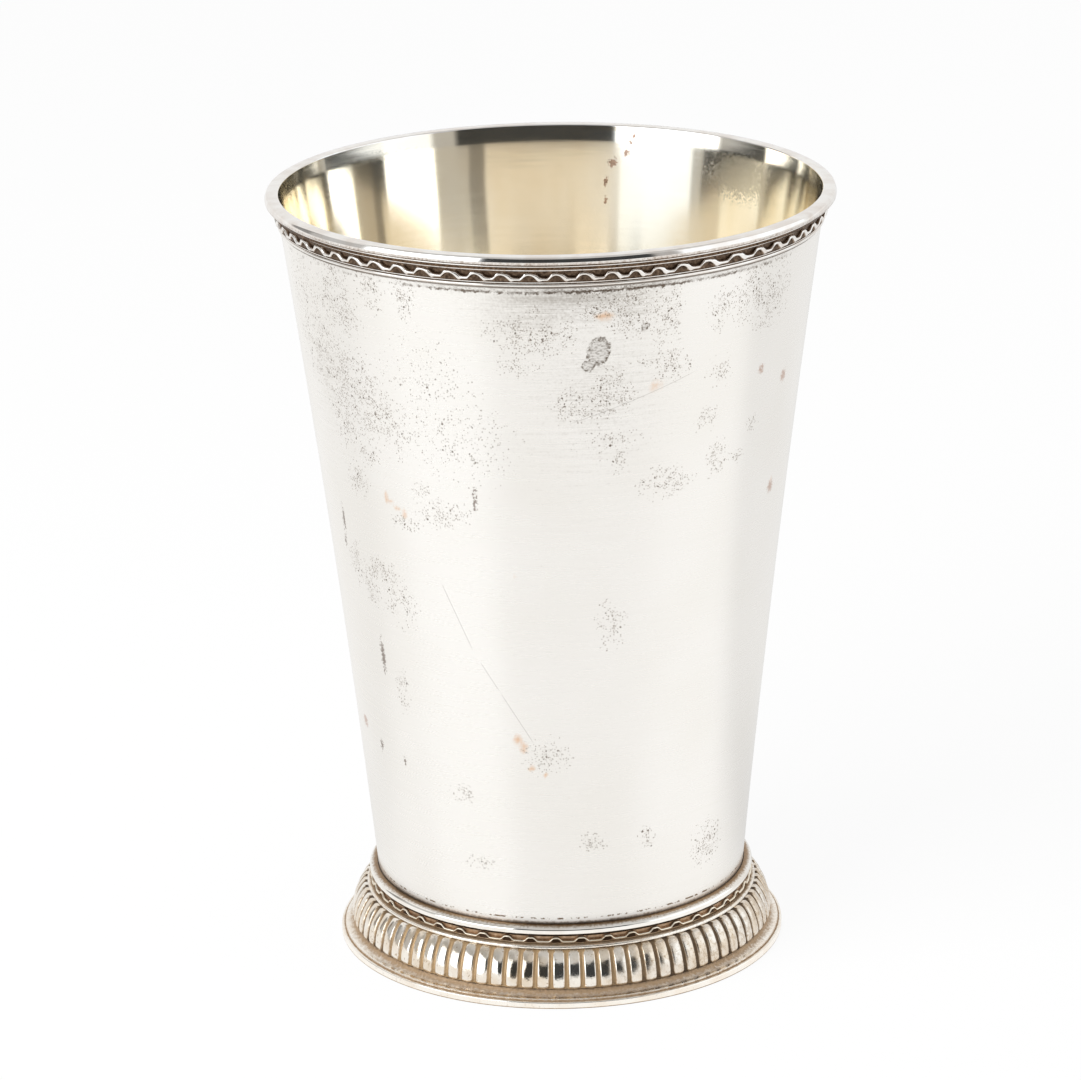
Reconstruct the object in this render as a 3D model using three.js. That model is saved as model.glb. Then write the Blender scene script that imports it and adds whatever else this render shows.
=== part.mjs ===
// A silver beaker: a tapered cup with a moulded rim, standing on a stacked foot with a gadrooned ring.
// Millimetres, +Z up. The origin is the centre of the circle that the foot stands on, the front is -Y.
import * as THREE from 'three';

// Cup
const HEIGHT = 125; // standing surface to rim plane
const MOUTH_RADIUS = 43.5; // outside of the wall, carried up to the rim plane
const WALL_FOOT_RADIUS = 29.7; // outside of the wall at its lower edge
const WALL_BOW = 0.73; // how far the wall curves in half way up
const SHEET = 0.85; // thickness of the wall
const FLOOR_THICKNESS = 1;
const SEAM = 0.12; // solder seam between neighbouring pieces

// Rim mouldings, let into a shallow rebate around the top of the wall
const RIM_REBATE = 0.45;
const LIP_HEIGHT = 1.55;
const LIP_CAP = 0.8; // part of the lip that covers the wall's upper edge
const LIP_PROJECTION = 1.55; // beyond the wall
const LIP_EDGE = 0.3;
const LEDGE_HEIGHT = 0.6; // narrow ledge under the lip
const LEDGE_PROJECTION = 0.65;
const RIM_STRIP_HEIGHT = 2.1;
const RIM_STRIP_GROUND = 0.2; // the strip's sunk ground, beyond the wall
const RIM_RIBBON_RELIEF = 0.5;
const RIM_RIBBON_WIDTH = 0.55;
const RIM_WAVE_SWING = 0.38; // ribbon's centre line, either side of the strip's middle
const RIM_WAVES = 64;
const RIM_WAVE_AZIMUTH = 1; // degrees from the front to a crest
const RIM_BEAD_HEIGHT = 0.55;
const RIM_BEAD_PROJECTION = 0.35;

// Foot mouldings, stacked from the standing surface up
const BASE_HEIGHT = 2.4;
const BASE_BAND_HEIGHT = 1.1; // upright outer band
const BASE_PROJECTION = 1.8; // outer band, beyond the gadroons
const BASE_FILLET_HEIGHT = 0.4;
const BASE_FILLET_PROJECTION = 1.15;
const BASE_SEAT = 1.9; // width of the seat under the gadroons
const BASE_EDGE = 0.15;
const GADROON_HEIGHT = 5.7;
const GADROON_SWELL = 5; // half width of the ellipse that the lobes follow
const GADROON_TURN = 0.95; // radians of that ellipse, from upright at the bottom to the top edge
const GADROON_STEP = 0.5; // lobes' top edge, beyond the fillet
const GADROON_GROOVE_DEPTH = 0.45;
const GADROON_GROOVE_SHARE = 0.4; // part of the pitch
const GADROON_SHELL = 1.3;
const GADROONS = 85;
const GADROON_AZIMUTH = 0.91; // degrees from the front to a groove
const FLANGE_THICKNESS = 0.9; // inner flange that carries the cup
const FLANGE_REACH = 2.7; // inwards from the wall
const FILLET_HEIGHT = 0.55;
const FILLET_PROJECTION = 2.25;
const FOOT_STRIP_HEIGHT = 1.35;
const FOOT_STRIP_GROUND = 1.3;
const FOOT_RIBBON_RELIEF = 0.4;
const FOOT_RIBBON_WIDTH = 0.5;
const FOOT_WAVE_SWING = 0.32;
const FOOT_WAVES = 48;
const FOOT_WAVE_AZIMUTH = 5.78; // degrees from the front to a crest
const FOOT_CREST_SHARE = 0.16; // level top of a wave, part of the pitch
const FOOT_TROUGH_SHARE = 0.34; // level bottom of a wave
const COLLAR_HEIGHT = 1.5;
const COLLAR_PROJECTION = 1.75;

// Fineness of the facets
const ROUND_STEPS = 60;
const WALL_STEPS = 6;
const CURVE_STEPS = 2;
const GADROON_ROWS = 3;

// Levels of the foot, from the standing surface up
const gadroonBottom = BASE_HEIGHT + SEAM;
const gadroonTop = gadroonBottom + GADROON_HEIGHT;
const wallBottom = gadroonTop + SEAM;
const filletTop = wallBottom + FILLET_HEIGHT;
const footStripBottom = filletTop + SEAM;
const footStripTop = footStripBottom + FOOT_STRIP_HEIGHT;
const collarBottom = footStripTop + SEAM;
const collarTop = collarBottom + COLLAR_HEIGHT;

// Levels of the rim, from the rim plane down
const capBottom = HEIGHT - LIP_CAP;
const wallTop = capBottom - SEAM;
const lipBottom = HEIGHT - LIP_HEIGHT;
const ledgeBottom = lipBottom - LEDGE_HEIGHT;
const rimStripTop = ledgeBottom - SEAM;
const rimStripBottom = rimStripTop - RIM_STRIP_HEIGHT;
const beadTop = rimStripBottom - SEAM;
const beadBottom = beadTop - RIM_BEAD_HEIGHT;
const rebateBottom = beadBottom - SEAM;

// Outside radius of the cup's wall at a height: a straight taper, bowed slightly inwards.
function wallRadius(z) {
  const t = (z - wallBottom) / (HEIGHT - wallBottom);
  return THREE.MathUtils.lerp(WALL_FOOT_RADIUS, MOUTH_RADIUS, t) - 4 * WALL_BOW * t * (1 - t);
}

// Bore of a ring that is soldered round the wall, with its top at the given height.
const boreAroundWall = (top) => wallRadius(top) + SEAM;
const boreInRebate = (top) => wallRadius(top) - RIM_REBATE + SEAM;

// Angle about +Z of an azimuth in degrees that is counted from the front towards +X.
const angleFromFront = (azimuth) => THREE.MathUtils.degToRad(azimuth - 90);

const silver = (color, roughness) => new THREE.MeshStandardMaterial({ color, roughness, metalness: 1 });

function part(name, geometry, material) {
  const mesh = new THREE.Mesh(geometry, material);
  mesh.name = name;
  return mesh;
}

// A plain turned piece: the outline is in (radius, height), with its outer side going up.
function turned(outline) {
  return new THREE.LatheGeometry(outline, ROUND_STEPS).rotateX(Math.PI / 2);
}

// A wire of half-round section: flat on its bore, top and bottom, round outside.
function halfRoundRing(bore, radius, bottom, top) {
  const rounding = (top - bottom) / 2;
  const outline = new THREE.Path();
  outline.moveTo(bore, bottom);
  outline.absarc(radius - rounding, bottom + rounding, rounding, -Math.PI / 2, Math.PI / 2);
  outline.lineTo(bore, top);
  outline.closePath();
  return turned(outline.getPoints(CURVE_STEPS));
}

// A closed ring whose section varies: each column has an angle and as many (radius, height) corners.
function ringOfColumns(columns) {
  const corners = columns[0].section.length;
  const positions = [];
  const triangles = [];
  columns.forEach(({ angle, section }, i) => {
    const here = i * corners;
    const next = ((i + 1) % columns.length) * corners;
    section.forEach(([r, z], j) => {
      const above = (j + 1) % corners;
      positions.push(r * Math.cos(angle), r * Math.sin(angle), z);
      triangles.push(here + j, next + j, next + above);
      triangles.push(here + j, next + above, here + above);
    });
  });
  const geometry = new THREE.BufferGeometry();
  geometry.setAttribute('position', new THREE.Float32BufferAttribute(positions, 3));
  geometry.setIndex(triangles);
  geometry.computeVertexNormals();
  return geometry;
}

// Columns of a pattern that repeats round a ring: marks are [share of the pitch, value] in turning order.
function repeated(count, azimuth, marks, sectionOf) {
  const pitch = (2 * Math.PI) / count;
  return Array.from({ length: count }, (_, k) => marks.map(([share, value]) => ({
    angle: angleFromFront(azimuth) + (k + share) * pitch,
    section: sectionOf(value),
  }))).flat();
}

// A strip with a ridged ribbon that waves up and down along a sunk ground.
function waveStrip({ bore, ground, relief, width, swing, bottom, top, count, azimuth, marks }) {
  const middle = (bottom + top) / 2;
  const sectionOf = (side) => {
    const ribbon = middle + side * swing;
    return [
      [bore, bottom],
      [ground, bottom],
      [ground, ribbon - width / 2],
      [ground + relief, ribbon],
      [ground, ribbon + width / 2],
      [ground, top],
      [bore, top],
    ];
  };
  return ringOfColumns(repeated(count, azimuth, marks, sectionOf));
}

// The cup: a tapered tube whose top edge is rebated for the rim, and an inset floor.
function cupWall() {
  const heights = (from, to) => Array.from(
    { length: WALL_STEPS + 1 },
    (_, i) => THREE.MathUtils.lerp(from, to, i / WALL_STEPS),
  );
  const outside = heights(wallBottom, rebateBottom).map((z) => new THREE.Vector2(wallRadius(z), z));
  const rebate = [rebateBottom, wallTop].map((z) => new THREE.Vector2(wallRadius(z) - RIM_REBATE, z));
  const inside = heights(wallTop, wallBottom).map((z) => new THREE.Vector2(wallRadius(z) - SHEET, z));
  return turned([...outside, ...rebate, ...inside, outside[0]]);
}

function cupFloor() {
  const radius = wallRadius(wallBottom) - SHEET - SEAM;
  const top = wallBottom + FLOOR_THICKNESS;
  return turned([[0, wallBottom], [radius, wallBottom], [radius, top], [0, top]]
    .map(([r, z]) => new THREE.Vector2(r, z)));
}

// The lip caps the wall's upper edge and hangs outside it, with a narrow ledge below.
function rimLip() {
  const bore = boreInRebate(capBottom);
  const mouth = wallRadius(wallTop) - SHEET;
  const outer = MOUTH_RADIUS + LIP_PROJECTION;
  const ledge = wallRadius(ledgeBottom) + LEDGE_PROJECTION;
  const outline = new THREE.Path();
  outline.moveTo(bore, ledgeBottom);
  outline.lineTo(ledge, ledgeBottom);
  outline.lineTo(ledge, lipBottom);
  outline.lineTo(outer - LIP_EDGE, lipBottom);
  outline.lineTo(outer, lipBottom + LIP_EDGE);
  outline.lineTo(outer, HEIGHT - LIP_EDGE);
  outline.lineTo(outer - LIP_EDGE, HEIGHT);
  outline.lineTo(mouth + LIP_EDGE, HEIGHT);
  outline.lineTo(mouth, HEIGHT - LIP_EDGE);
  outline.lineTo(mouth, capBottom);
  outline.lineTo(bore, capBottom);
  outline.closePath();
  return turned(outline.getPoints());
}

function rimWaveStrip() {
  return waveStrip({
    bore: boreInRebate(rimStripTop),
    ground: wallRadius(rimStripTop) + RIM_STRIP_GROUND,
    relief: RIM_RIBBON_RELIEF,
    width: RIM_RIBBON_WIDTH,
    swing: RIM_WAVE_SWING,
    bottom: rimStripBottom,
    top: rimStripTop,
    count: RIM_WAVES,
    azimuth: RIM_WAVE_AZIMUTH,
    marks: [[0, 1], [0.5, -1]],
  });
}

function rimBead() {
  const radius = wallRadius(beadTop) + RIM_BEAD_PROJECTION;
  return halfRoundRing(boreInRebate(beadTop), radius, beadBottom, beadTop);
}

function footCollar() {
  const radius = WALL_FOOT_RADIUS + COLLAR_PROJECTION;
  return halfRoundRing(boreAroundWall(collarTop), radius, collarBottom, collarTop);
}

function footWaveStrip() {
  const crest = FOOT_CREST_SHARE / 2;
  const trough = FOOT_TROUGH_SHARE / 2;
  return waveStrip({
    bore: boreAroundWall(footStripTop),
    ground: WALL_FOOT_RADIUS + FOOT_STRIP_GROUND,
    relief: FOOT_RIBBON_RELIEF,
    width: FOOT_RIBBON_WIDTH,
    swing: FOOT_WAVE_SWING,
    bottom: footStripBottom,
    top: footStripTop,
    count: FOOT_WAVES,
    azimuth: FOOT_WAVE_AZIMUTH,
    marks: [[-crest, 1], [crest, 1], [0.5 - trough, -1], [0.5 + trough, -1]],
  });
}

const filletRadius = WALL_FOOT_RADIUS + FILLET_PROJECTION;

function footFillet() {
  return halfRoundRing(boreAroundWall(filletTop), filletRadius, wallBottom, filletTop);
}

// The lobes follow part of an ellipse, upright at the bottom, whose centre is level with their lower end.
const gadroonRise = GADROON_HEIGHT / Math.sin(GADROON_TURN);
const gadroonCentre = filletRadius + GADROON_STEP - GADROON_SWELL * Math.cos(GADROON_TURN);
const gadroonRadius = gadroonCentre + GADROON_SWELL;

// A stamped ring of lobes with narrow grooves between them, hollow underneath, with a flange for the cup.
function footGadroons() {
  const flangeBottom = gadroonTop - FLANGE_THICKNESS;
  const bore = WALL_FOOT_RADIUS - FLANGE_REACH;
  const hollowTurn = Math.asin((flangeBottom - gadroonBottom) / (gadroonRise - GADROON_SHELL));
  const hollow = (turn) => gadroonCentre + (GADROON_SWELL - GADROON_SHELL) * Math.cos(turn);
  const sectionOf = (depth) => {
    const lobe = Array.from({ length: GADROON_ROWS + 1 }, (_, i) => {
      const turn = (GADROON_TURN * i) / GADROON_ROWS;
      return [
        gadroonCentre + (GADROON_SWELL - depth) * Math.cos(turn),
        gadroonBottom + (gadroonRise - depth) * Math.sin(turn),
      ];
    });
    return [
      ...lobe,
      [filletRadius, gadroonTop],
      [bore, gadroonTop],
      [bore, flangeBottom],
      [hollow(hollowTurn), flangeBottom],
      [hollow(0), gadroonBottom],
    ];
  };
  const flank = GADROON_GROOVE_SHARE / 2;
  const marks = [[-flank, 0], [0, GADROON_GROOVE_DEPTH], [flank, 0]];
  return ringOfColumns(repeated(GADROONS, GADROON_AZIMUTH, marks, sectionOf));
}

// The ring that the beaker stands on: an upright band, a fillet and a hollow curve up to the gadroons.
function footBase() {
  const bore = gadroonRadius - BASE_SEAT;
  const band = gadroonRadius + BASE_PROJECTION;
  const fillet = gadroonRadius + BASE_FILLET_PROJECTION;
  const filletLevel = BASE_BAND_HEIGHT + BASE_FILLET_HEIGHT;
  const outline = new THREE.Path();
  outline.moveTo(bore, 0);
  outline.lineTo(band - BASE_EDGE, 0);
  outline.lineTo(band, BASE_EDGE);
  outline.lineTo(band, BASE_BAND_HEIGHT - BASE_EDGE);
  outline.lineTo(band - BASE_EDGE, BASE_BAND_HEIGHT);
  outline.lineTo(fillet, BASE_BAND_HEIGHT);
  outline.lineTo(fillet - BASE_EDGE, filletLevel);
  outline.quadraticCurveTo(gadroonRadius, filletLevel, gadroonRadius, BASE_HEIGHT);
  outline.lineTo(bore, BASE_HEIGHT);
  outline.closePath();
  return turned(outline.getPoints(CURVE_STEPS));
}

const cup = new THREE.Group();
cup.add(part('cup_wall', cupWall(), silver(0xeceae6, 0.3)));
cup.add(part('cup_floor', cupFloor(), silver(0xe6d3a0, 0.35)));

const rim = new THREE.Group();
rim.add(part('rim_lip_wire', rimLip(), silver(0xf0eeea, 0.2)));
rim.add(part('rim_wave_strip', rimWaveStrip(), silver(0x8a7766, 0.45)));
rim.add(part('rim_bead_wire', rimBead(), silver(0xe6e0d8, 0.25)));

const foot = new THREE.Group();
foot.add(part('foot_collar_wire', footCollar(), silver(0xe9e5de, 0.2)));
foot.add(part('foot_wave_strip', footWaveStrip(), silver(0x94806a, 0.45)));
foot.add(part('foot_fillet_wire', footFillet(), silver(0xd6c8b8, 0.3)));
foot.add(part('foot_gadroon_ring', footGadroons(), silver(0xd8cfc4, 0.22)));
foot.add(part('foot_base_ring', footBase(), silver(0xeae0d8, 0.28)));

const beaker = new THREE.Group();
beaker.add(cup, rim, foot);

export default beaker;
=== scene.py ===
"""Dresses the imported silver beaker: turned metal, relief borders, gilding and soft studio light.

Lengths are in metres, and azimuths in degrees, counted from the front (-Y) towards +X.
Finishes, marks and the steps of the half sections are drawn in millimetres.
"""

import logging
import math
from dataclasses import dataclass, field
from enum import Enum
from typing import Any, Mapping, Optional, Sequence, Union

import bmesh
import bpy
from mathutils import Color, Matrix, Vector


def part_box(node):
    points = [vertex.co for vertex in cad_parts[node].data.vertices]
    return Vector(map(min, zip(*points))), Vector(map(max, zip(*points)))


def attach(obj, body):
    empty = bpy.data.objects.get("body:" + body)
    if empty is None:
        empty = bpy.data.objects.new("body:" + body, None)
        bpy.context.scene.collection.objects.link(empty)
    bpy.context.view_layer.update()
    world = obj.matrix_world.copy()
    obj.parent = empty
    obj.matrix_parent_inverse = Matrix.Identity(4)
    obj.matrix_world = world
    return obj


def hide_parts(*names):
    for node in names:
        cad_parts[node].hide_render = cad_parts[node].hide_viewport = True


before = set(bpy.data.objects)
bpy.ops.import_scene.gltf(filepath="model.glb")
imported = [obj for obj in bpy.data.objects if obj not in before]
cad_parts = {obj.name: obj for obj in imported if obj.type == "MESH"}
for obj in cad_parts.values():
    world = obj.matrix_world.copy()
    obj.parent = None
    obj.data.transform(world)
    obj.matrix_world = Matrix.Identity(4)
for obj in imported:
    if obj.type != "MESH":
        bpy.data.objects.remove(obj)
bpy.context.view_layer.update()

LOG = logging.getLogger("beaker")
MM = 0.001
FULL_TURN = 360.0
BODY = "root"
DOUBLES = 0.001 * MM
MARK_REACH = 2.0

Colour = tuple[float, float, float, float]
Band = tuple[float, float]


class Slot(Enum):
    """The record's material slots."""

    CUP = "cup_silver"
    GILT = "gilt"
    BRIGHT = "bright_silver"
    TARNISHED = "tarnished_silver"
    LOBED = "gadroon_silver"


class Bend(Enum):
    """The direction in which a rounded stretch of an outline sets off."""

    UPRIGHT = "upright"
    LEVEL = "level"


class Layer(Enum):
    """The values that a section's points pass on to the turned mesh."""

    HOLLOW = "hollow"
    FOLLOW = "follow"
    SIDE = "side"


class Blemish(Enum):
    """The kinds of marks on the cup, each kept as an attribute of its mesh."""

    PITS = "pits"
    SCAB = "scab"
    COPPER = "copper"
    STREAK = "streak"
    HAZE = "haze"
    EDGE = "edge"
    RUST = "rust"
    WORN = "worn"
    RUBBED = "rubbed"


class Lay(Enum):
    """The way that fine polishing lines run."""

    ROUND = "round"
    RINGS = "rings"


def shade(red: int, green: int, blue: int) -> Colour:
    """Turns a display colour, in parts from 0 to 255, into the linear colour that a shader takes."""
    shown = Color(part / 255.0 for part in (red, green, blue))
    return (*shown.from_srgb_to_scene_linear(), 1.0)


def grey(level: float) -> Colour:
    """Gives a linear grey."""
    return (level, level, level, 1.0)


def ease(value: float, low: float, high: float) -> float:
    """Goes smoothly from 0, where the value is at low, to 1 at high."""
    share = min(1.0, max(0.0, (value - low) / (high - low)))
    return share * share * (3.0 - 2.0 * share)


def bump(value: float, middle: float, width: float) -> float:
    """Gives a soft bump, 1 in its middle."""
    return math.exp(-(((value - middle) / width) ** 2))


def around(point: Vector) -> float:
    """Gives a point's azimuth."""
    return math.degrees(math.atan2(point.x, -point.y))


def layer(bm: bmesh.types.BMesh, kind: Union[Layer, Blemish]) -> bmesh.types.BMLayerItem:
    """Finds a mesh's values of one kind."""
    return bm.verts.layers.float[kind.value]


@dataclass(frozen=True)
class Ring:
    """The room of a CAD ring: its outer radius, its bore, and its lowest and highest level."""

    outer: float
    bore: float
    low: float
    high: float

    @classmethod
    def of(cls, node: str) -> "Ring":
        """Measures a CAD node.

        Args:
            node: the node's name.

        Returns:
            The room that the node takes up.
        """
        low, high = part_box(node)
        bore = min(math.hypot(vert.co.x, vert.co.y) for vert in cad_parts[node].data.vertices)
        return cls(high.x, bore, low.z, high.z)

    @property
    def middle(self) -> float:
        """The level halfway up."""
        return (self.low + self.high) / 2.0

    @property
    def rise(self) -> float:
        """The height from the lowest to the highest level."""
        return self.high - self.low


@dataclass(frozen=True)
class Knot:
    """A point of a half section, with the layer values that it passes on to the turned mesh."""

    radius: float
    height: float
    hollow: float = 0.0
    follow: float = 0.0
    side: float = 0.0


@dataclass(frozen=True)
class Step:
    """A stretch of a section, straight or rounded, to a point in millimetres from a corner."""

    out: float
    up: float
    hollow: float = 0.0
    bend: Optional[Bend] = None
    points: int = 3


@dataclass
class Outline:
    """The closed half section of a turned piece."""

    knots: list[Knot] = field(default_factory=list)

    def to(self, radius: float, height: float, hollow: float = 0.0, follow: float = 0.0,
           side: float = 0.0) -> "Outline":
        """Goes straight to a point.

        Args:
            radius: the point's distance from the axis.
            height: its level.
            hollow: how sunk it lies, from 0 to 1.
            follow: how far a relief moves it.
            side: a free value that the piece's relief or gilding reads.

        Returns:
            The outline itself.
        """
        self.knots.append(Knot(radius, height, hollow, follow, side))
        return self

    def round(self, radius: float, height: float, bend: Bend, points: int, hollow: float = 0.0,
              side: float = 0.0) -> "Outline":
        """Goes to a point along a quarter of an ellipse.

        Args:
            radius: the end point's distance from the axis.
            height: its level.
            bend: the direction in which the quarter sets off.
            points: the number of new points.
            hollow: how sunk the end lies.
            side: the free value of all new points.

        Returns:
            The outline itself.
        """
        start = self.knots[-1]
        for point in range(1, points + 1):
            turn = math.pi / 2.0 * point / points
            swift, slow = math.sin(turn), 1.0 - math.cos(turn)
            out, up = (slow, swift) if bend is Bend.UPRIGHT else (swift, slow)
            self.to(start.radius + (radius - start.radius) * out,
                    start.height + (height - start.height) * up,
                    start.hollow + (hollow - start.hollow) * point / points, side=side)
        return self

    def through(self, radius: float, height: float, steps: Sequence[Step]) -> "Outline":
        """Goes along the steps of a moulding.

        Args:
            radius: the distance from the axis of the corner that the steps are counted from.
            height: the corner's level.
            steps: the straight and rounded stretches, in order.

        Returns:
            The outline itself.
        """
        for step in steps:
            end = (radius + step.out * MM, height + step.up * MM)
            if step.bend:
                self.round(*end, step.bend, step.points, step.hollow)
            else:
                self.to(*end, step.hollow)
        return self

    def turned(self, columns: int, sectors: int = 16) -> bmesh.types.BMesh:
        """Spins the section through one sector, and the sector once round the axis.

        Args:
            columns: the number of steps in the full turn.
            sectors: the number of equal parts of the turn, which divides the columns.

        Returns:
            The closed mesh, with the layers of the section's points.
        """
        bm = bmesh.new()
        for kind in Layer:
            bm.verts.layers.float.new(kind.value)
        ring = []
        for knot in self.knots:
            vert = bm.verts.new((0.0, -knot.radius, knot.height))
            for kind in Layer:
                vert[layer(bm, kind)] = getattr(knot, kind.value)
            ring.append(vert)
        edges = [bm.edges.new(pair) for pair in zip(ring, ring[1:] + ring[:1])]
        sector = math.tau / sectors
        axis = {"cent": (0, 0, 0), "axis": (0, 0, 1), "dvec": (0, 0, 0)}
        bmesh.ops.spin(bm, geom=ring + edges, angle=sector, steps=columns // sectors,
                       use_merge=False, use_duplicate=False, **axis)
        bmesh.ops.spin(bm, geom=bm.verts[:] + bm.edges[:] + bm.faces[:], angle=math.tau - sector,
                       steps=sectors - 1, use_merge=False, use_duplicate=True, **axis)
        bmesh.ops.remove_doubles(bm, verts=bm.verts, dist=DOUBLES)
        bmesh.ops.recalc_face_normals(bm, faces=bm.faces)
        return bm


def gild(bm: bmesh.types.BMesh) -> None:
    """Gives the second material to the faces whose points all have a side of 1.

    Args:
        bm: the mesh of a piece that is gilt on one side.
    """
    side = layer(bm, Layer.SIDE)
    for face in bm.faces:
        face.material_index = int(all(vert[side] > 0.5 for vert in face.verts))


def linked(name: str, data: bpy.types.ID) -> bpy.types.Object:
    """Makes an object and links it to the scene.

    Args:
        name: the object's name.
        data: its mesh, camera or lamp.

    Returns:
        The new object.
    """
    made = bpy.data.objects.new(name, data)
    bpy.context.scene.collection.objects.link(made)
    return made


def placed(bm: bmesh.types.BMesh, name: str, materials: Sequence[bpy.types.Material],
           crease: float = 40.0) -> bpy.types.Object:
    """Makes a piece of a mesh and lets it stand for the CAD node of the same name.

    Args:
        bm: the finished mesh, which is freed.
        name: the name of the piece, and of the node that it replaces.
        materials: its materials, by face index.
        crease: the angle in degrees past which an edge shows sharp.

    Returns:
        The new object.
    """
    for spare in (Layer.FOLLOW, Layer.SIDE):
        bm.verts.layers.float.remove(layer(bm, spare))
    mesh = bpy.data.meshes.new(f"{name}_fine")
    bm.to_mesh(mesh)
    bm.free()
    for material in materials:
        mesh.materials.append(material)
    mesh.shade_smooth()
    mesh.set_sharp_from_angle(angle=math.radians(crease))
    piece = linked(f"{name}_fine", mesh)
    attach(piece, BODY)
    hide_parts(name)
    return piece


class Signal:
    """A node's output that takes part in Python sums."""

    def __init__(self, graph: "Graph", socket: Optional[bpy.types.NodeSocket]) -> None:
        """Keeps the socket and its graph."""
        self.graph, self.socket = graph, socket

    def output(self, key: Union[str, int]) -> "Signal":
        """Gives another output of the same node, by name or number."""
        return Signal(self.graph, self.socket.node.outputs[key])

    def between(self, low: float, high: float) -> "Signal":
        """Eases the value from 0 at low to 1 at high."""
        return self.graph.add("ShaderNodeMapRange", {"interpolation_type": "SMOOTHSTEP"},
                              {"Value": self, "From Min": low, "From Max": high})

    def swing(self, reach: float) -> "Signal":
        """Turns a noise into a swing about 0."""
        return (self - 0.5) * reach

    def size(self) -> "Signal":
        """Gives the value without its sign."""
        return self.graph.sum("ABSOLUTE", self)

    def either(self, other: "Value") -> "Signal":
        """Gives the larger of two values."""
        return self.graph.sum("MAXIMUM", self, other)

    def axes(self) -> tuple["Signal", "Signal", "Signal"]:
        """Parts a point into X, Y and Z."""
        first = self.graph.add("ShaderNodeSeparateXYZ", {}, {0: self})
        return first, first.output("Y"), first.output("Z")

    def azimuth(self) -> "Signal":
        """Gives a point's azimuth, in radians."""
        across, ahead, _ = self.axes()
        return self.graph.sum("ARCTAN2", across, -1.0 * ahead)

    def length(self) -> "Signal":
        """Gives a point's distance from the origin."""
        return self.graph.vector("LENGTH", {0: self}).output("Value")

    def stretched(self, factors: tuple[float, float, float]) -> "Signal":
        """Multiplies a point's X, Y and Z."""
        return self.graph.vector("MULTIPLY", {0: self, 1: factors})

    def shifted(self, noise: "Signal", reach: float) -> "Signal":
        """Moves a point by a noise, so that what is drawn there is uneven."""
        away = self.graph.vector("SCALE", {0: noise.output("Color"), "Scale": reach})
        return self.graph.vector("ADD", {0: self, 1: away})

    def __add__(self, other: "Value") -> "Signal":
        """Adds a value."""
        return self.graph.sum("ADD", self, other)

    def __sub__(self, other: "Value") -> "Signal":
        """Takes a value away."""
        return self.graph.sum("SUBTRACT", self, other)

    def __rsub__(self, other: "Value") -> "Signal":
        """Takes the signal away from a value."""
        return self.graph.sum("SUBTRACT", other, self)

    def __mul__(self, other: "Value") -> "Signal":
        """Multiplies by a value."""
        return self.graph.sum("MULTIPLY", self, other)

    __radd__ = __add__
    __rmul__ = __mul__


Value = Union[Signal, float]
Tint = Union[Signal, Colour]


class Graph:
    """A node tree that is written as expressions."""

    def __init__(self, tree: bpy.types.NodeTree) -> None:
        """Takes a node tree and empties it."""
        tree.nodes.clear()
        self.tree = tree

    def add(self, kind: str, settings: Optional[Mapping[str, Any]] = None,
            sockets: Optional[Mapping[Union[str, int], Any]] = None) -> Signal:
        """Adds a node.

        Args:
            kind: the node's type.
            settings: its properties, or a ramp's stops, which are set first.
            sockets: the values or signals of its inputs, by name or number.

        Returns:
            The node's first output, or a signal of None where it has no outputs.
        """
        made = self.tree.nodes.new(kind)
        for key, value in (settings or {}).items():
            if key == "stops":
                self._stops(made.color_ramp, value)
            else:
                setattr(made, key, value)
        for key, value in (sockets or {}).items():
            if isinstance(value, Signal):
                self.tree.links.new(value.socket, made.inputs[key])
            else:
                made.inputs[key].default_value = value
        return Signal(self, made.outputs[0] if made.outputs else None)

    def _stops(self, ramp: bpy.types.ColorRamp, stops: Sequence[tuple[float, Colour]]) -> None:
        """Sets a ramp's stops, in rising order.

        Args:
            ramp: the ramp to set.
            stops: the place and colour of each stop.
        """
        while len(ramp.elements) < len(stops):
            ramp.elements.new(1.0)
        for element, (place, colour) in zip(ramp.elements, stops):
            element.position = place
            element.color = colour

    def sum(self, operation: str, first: Value, second: Value = 0.0) -> Signal:
        """Adds a Math node."""
        return self.add("ShaderNodeMath", {"operation": operation}, {0: first, 1: second})

    def vector(self, operation: str, sockets: Mapping[Union[str, int], Any]) -> Signal:
        """Adds a Vector Math node."""
        return self.add("ShaderNodeVectorMath", {"operation": operation}, sockets)

    def coated(self, colour: Tint, *coats: tuple[Value, Tint]) -> Signal:
        """Lays coats of colour over each other.

        Args:
            colour: the ground.
            coats: each coat's share and colour, in order.

        Returns:
            The colour that shows.
        """
        for share, coat in coats:
            # The Mix node's colours go in at 6 and 7 and come out at 2
            mixed = self.add("ShaderNodeMix", {"data_type": "RGBA"}, {0: share, 6: colour, 7: coat})
            colour = mixed.output(2)
        return colour

    def place(self) -> Signal:
        """Gives the point on the piece, in millimetres."""
        return self.vector("SCALE", {0: self.add("ShaderNodeTexCoord").output("Object"), "Scale": 1.0 / MM})

    def attribute(self, kind: Union[Layer, Blemish]) -> Signal:
        """Reads a value of the mesh."""
        return self.add("ShaderNodeAttribute", {"attribute_name": kind.value}).output("Fac")

    def rays(self) -> tuple[Signal, Signal]:
        """Tells what the camera sees, and what metal and glass show."""
        seen = self.add("ShaderNodeLightPath")
        return seen, seen.output("Is Glossy Ray").either(seen.output("Is Transmission Ray"))


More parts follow.
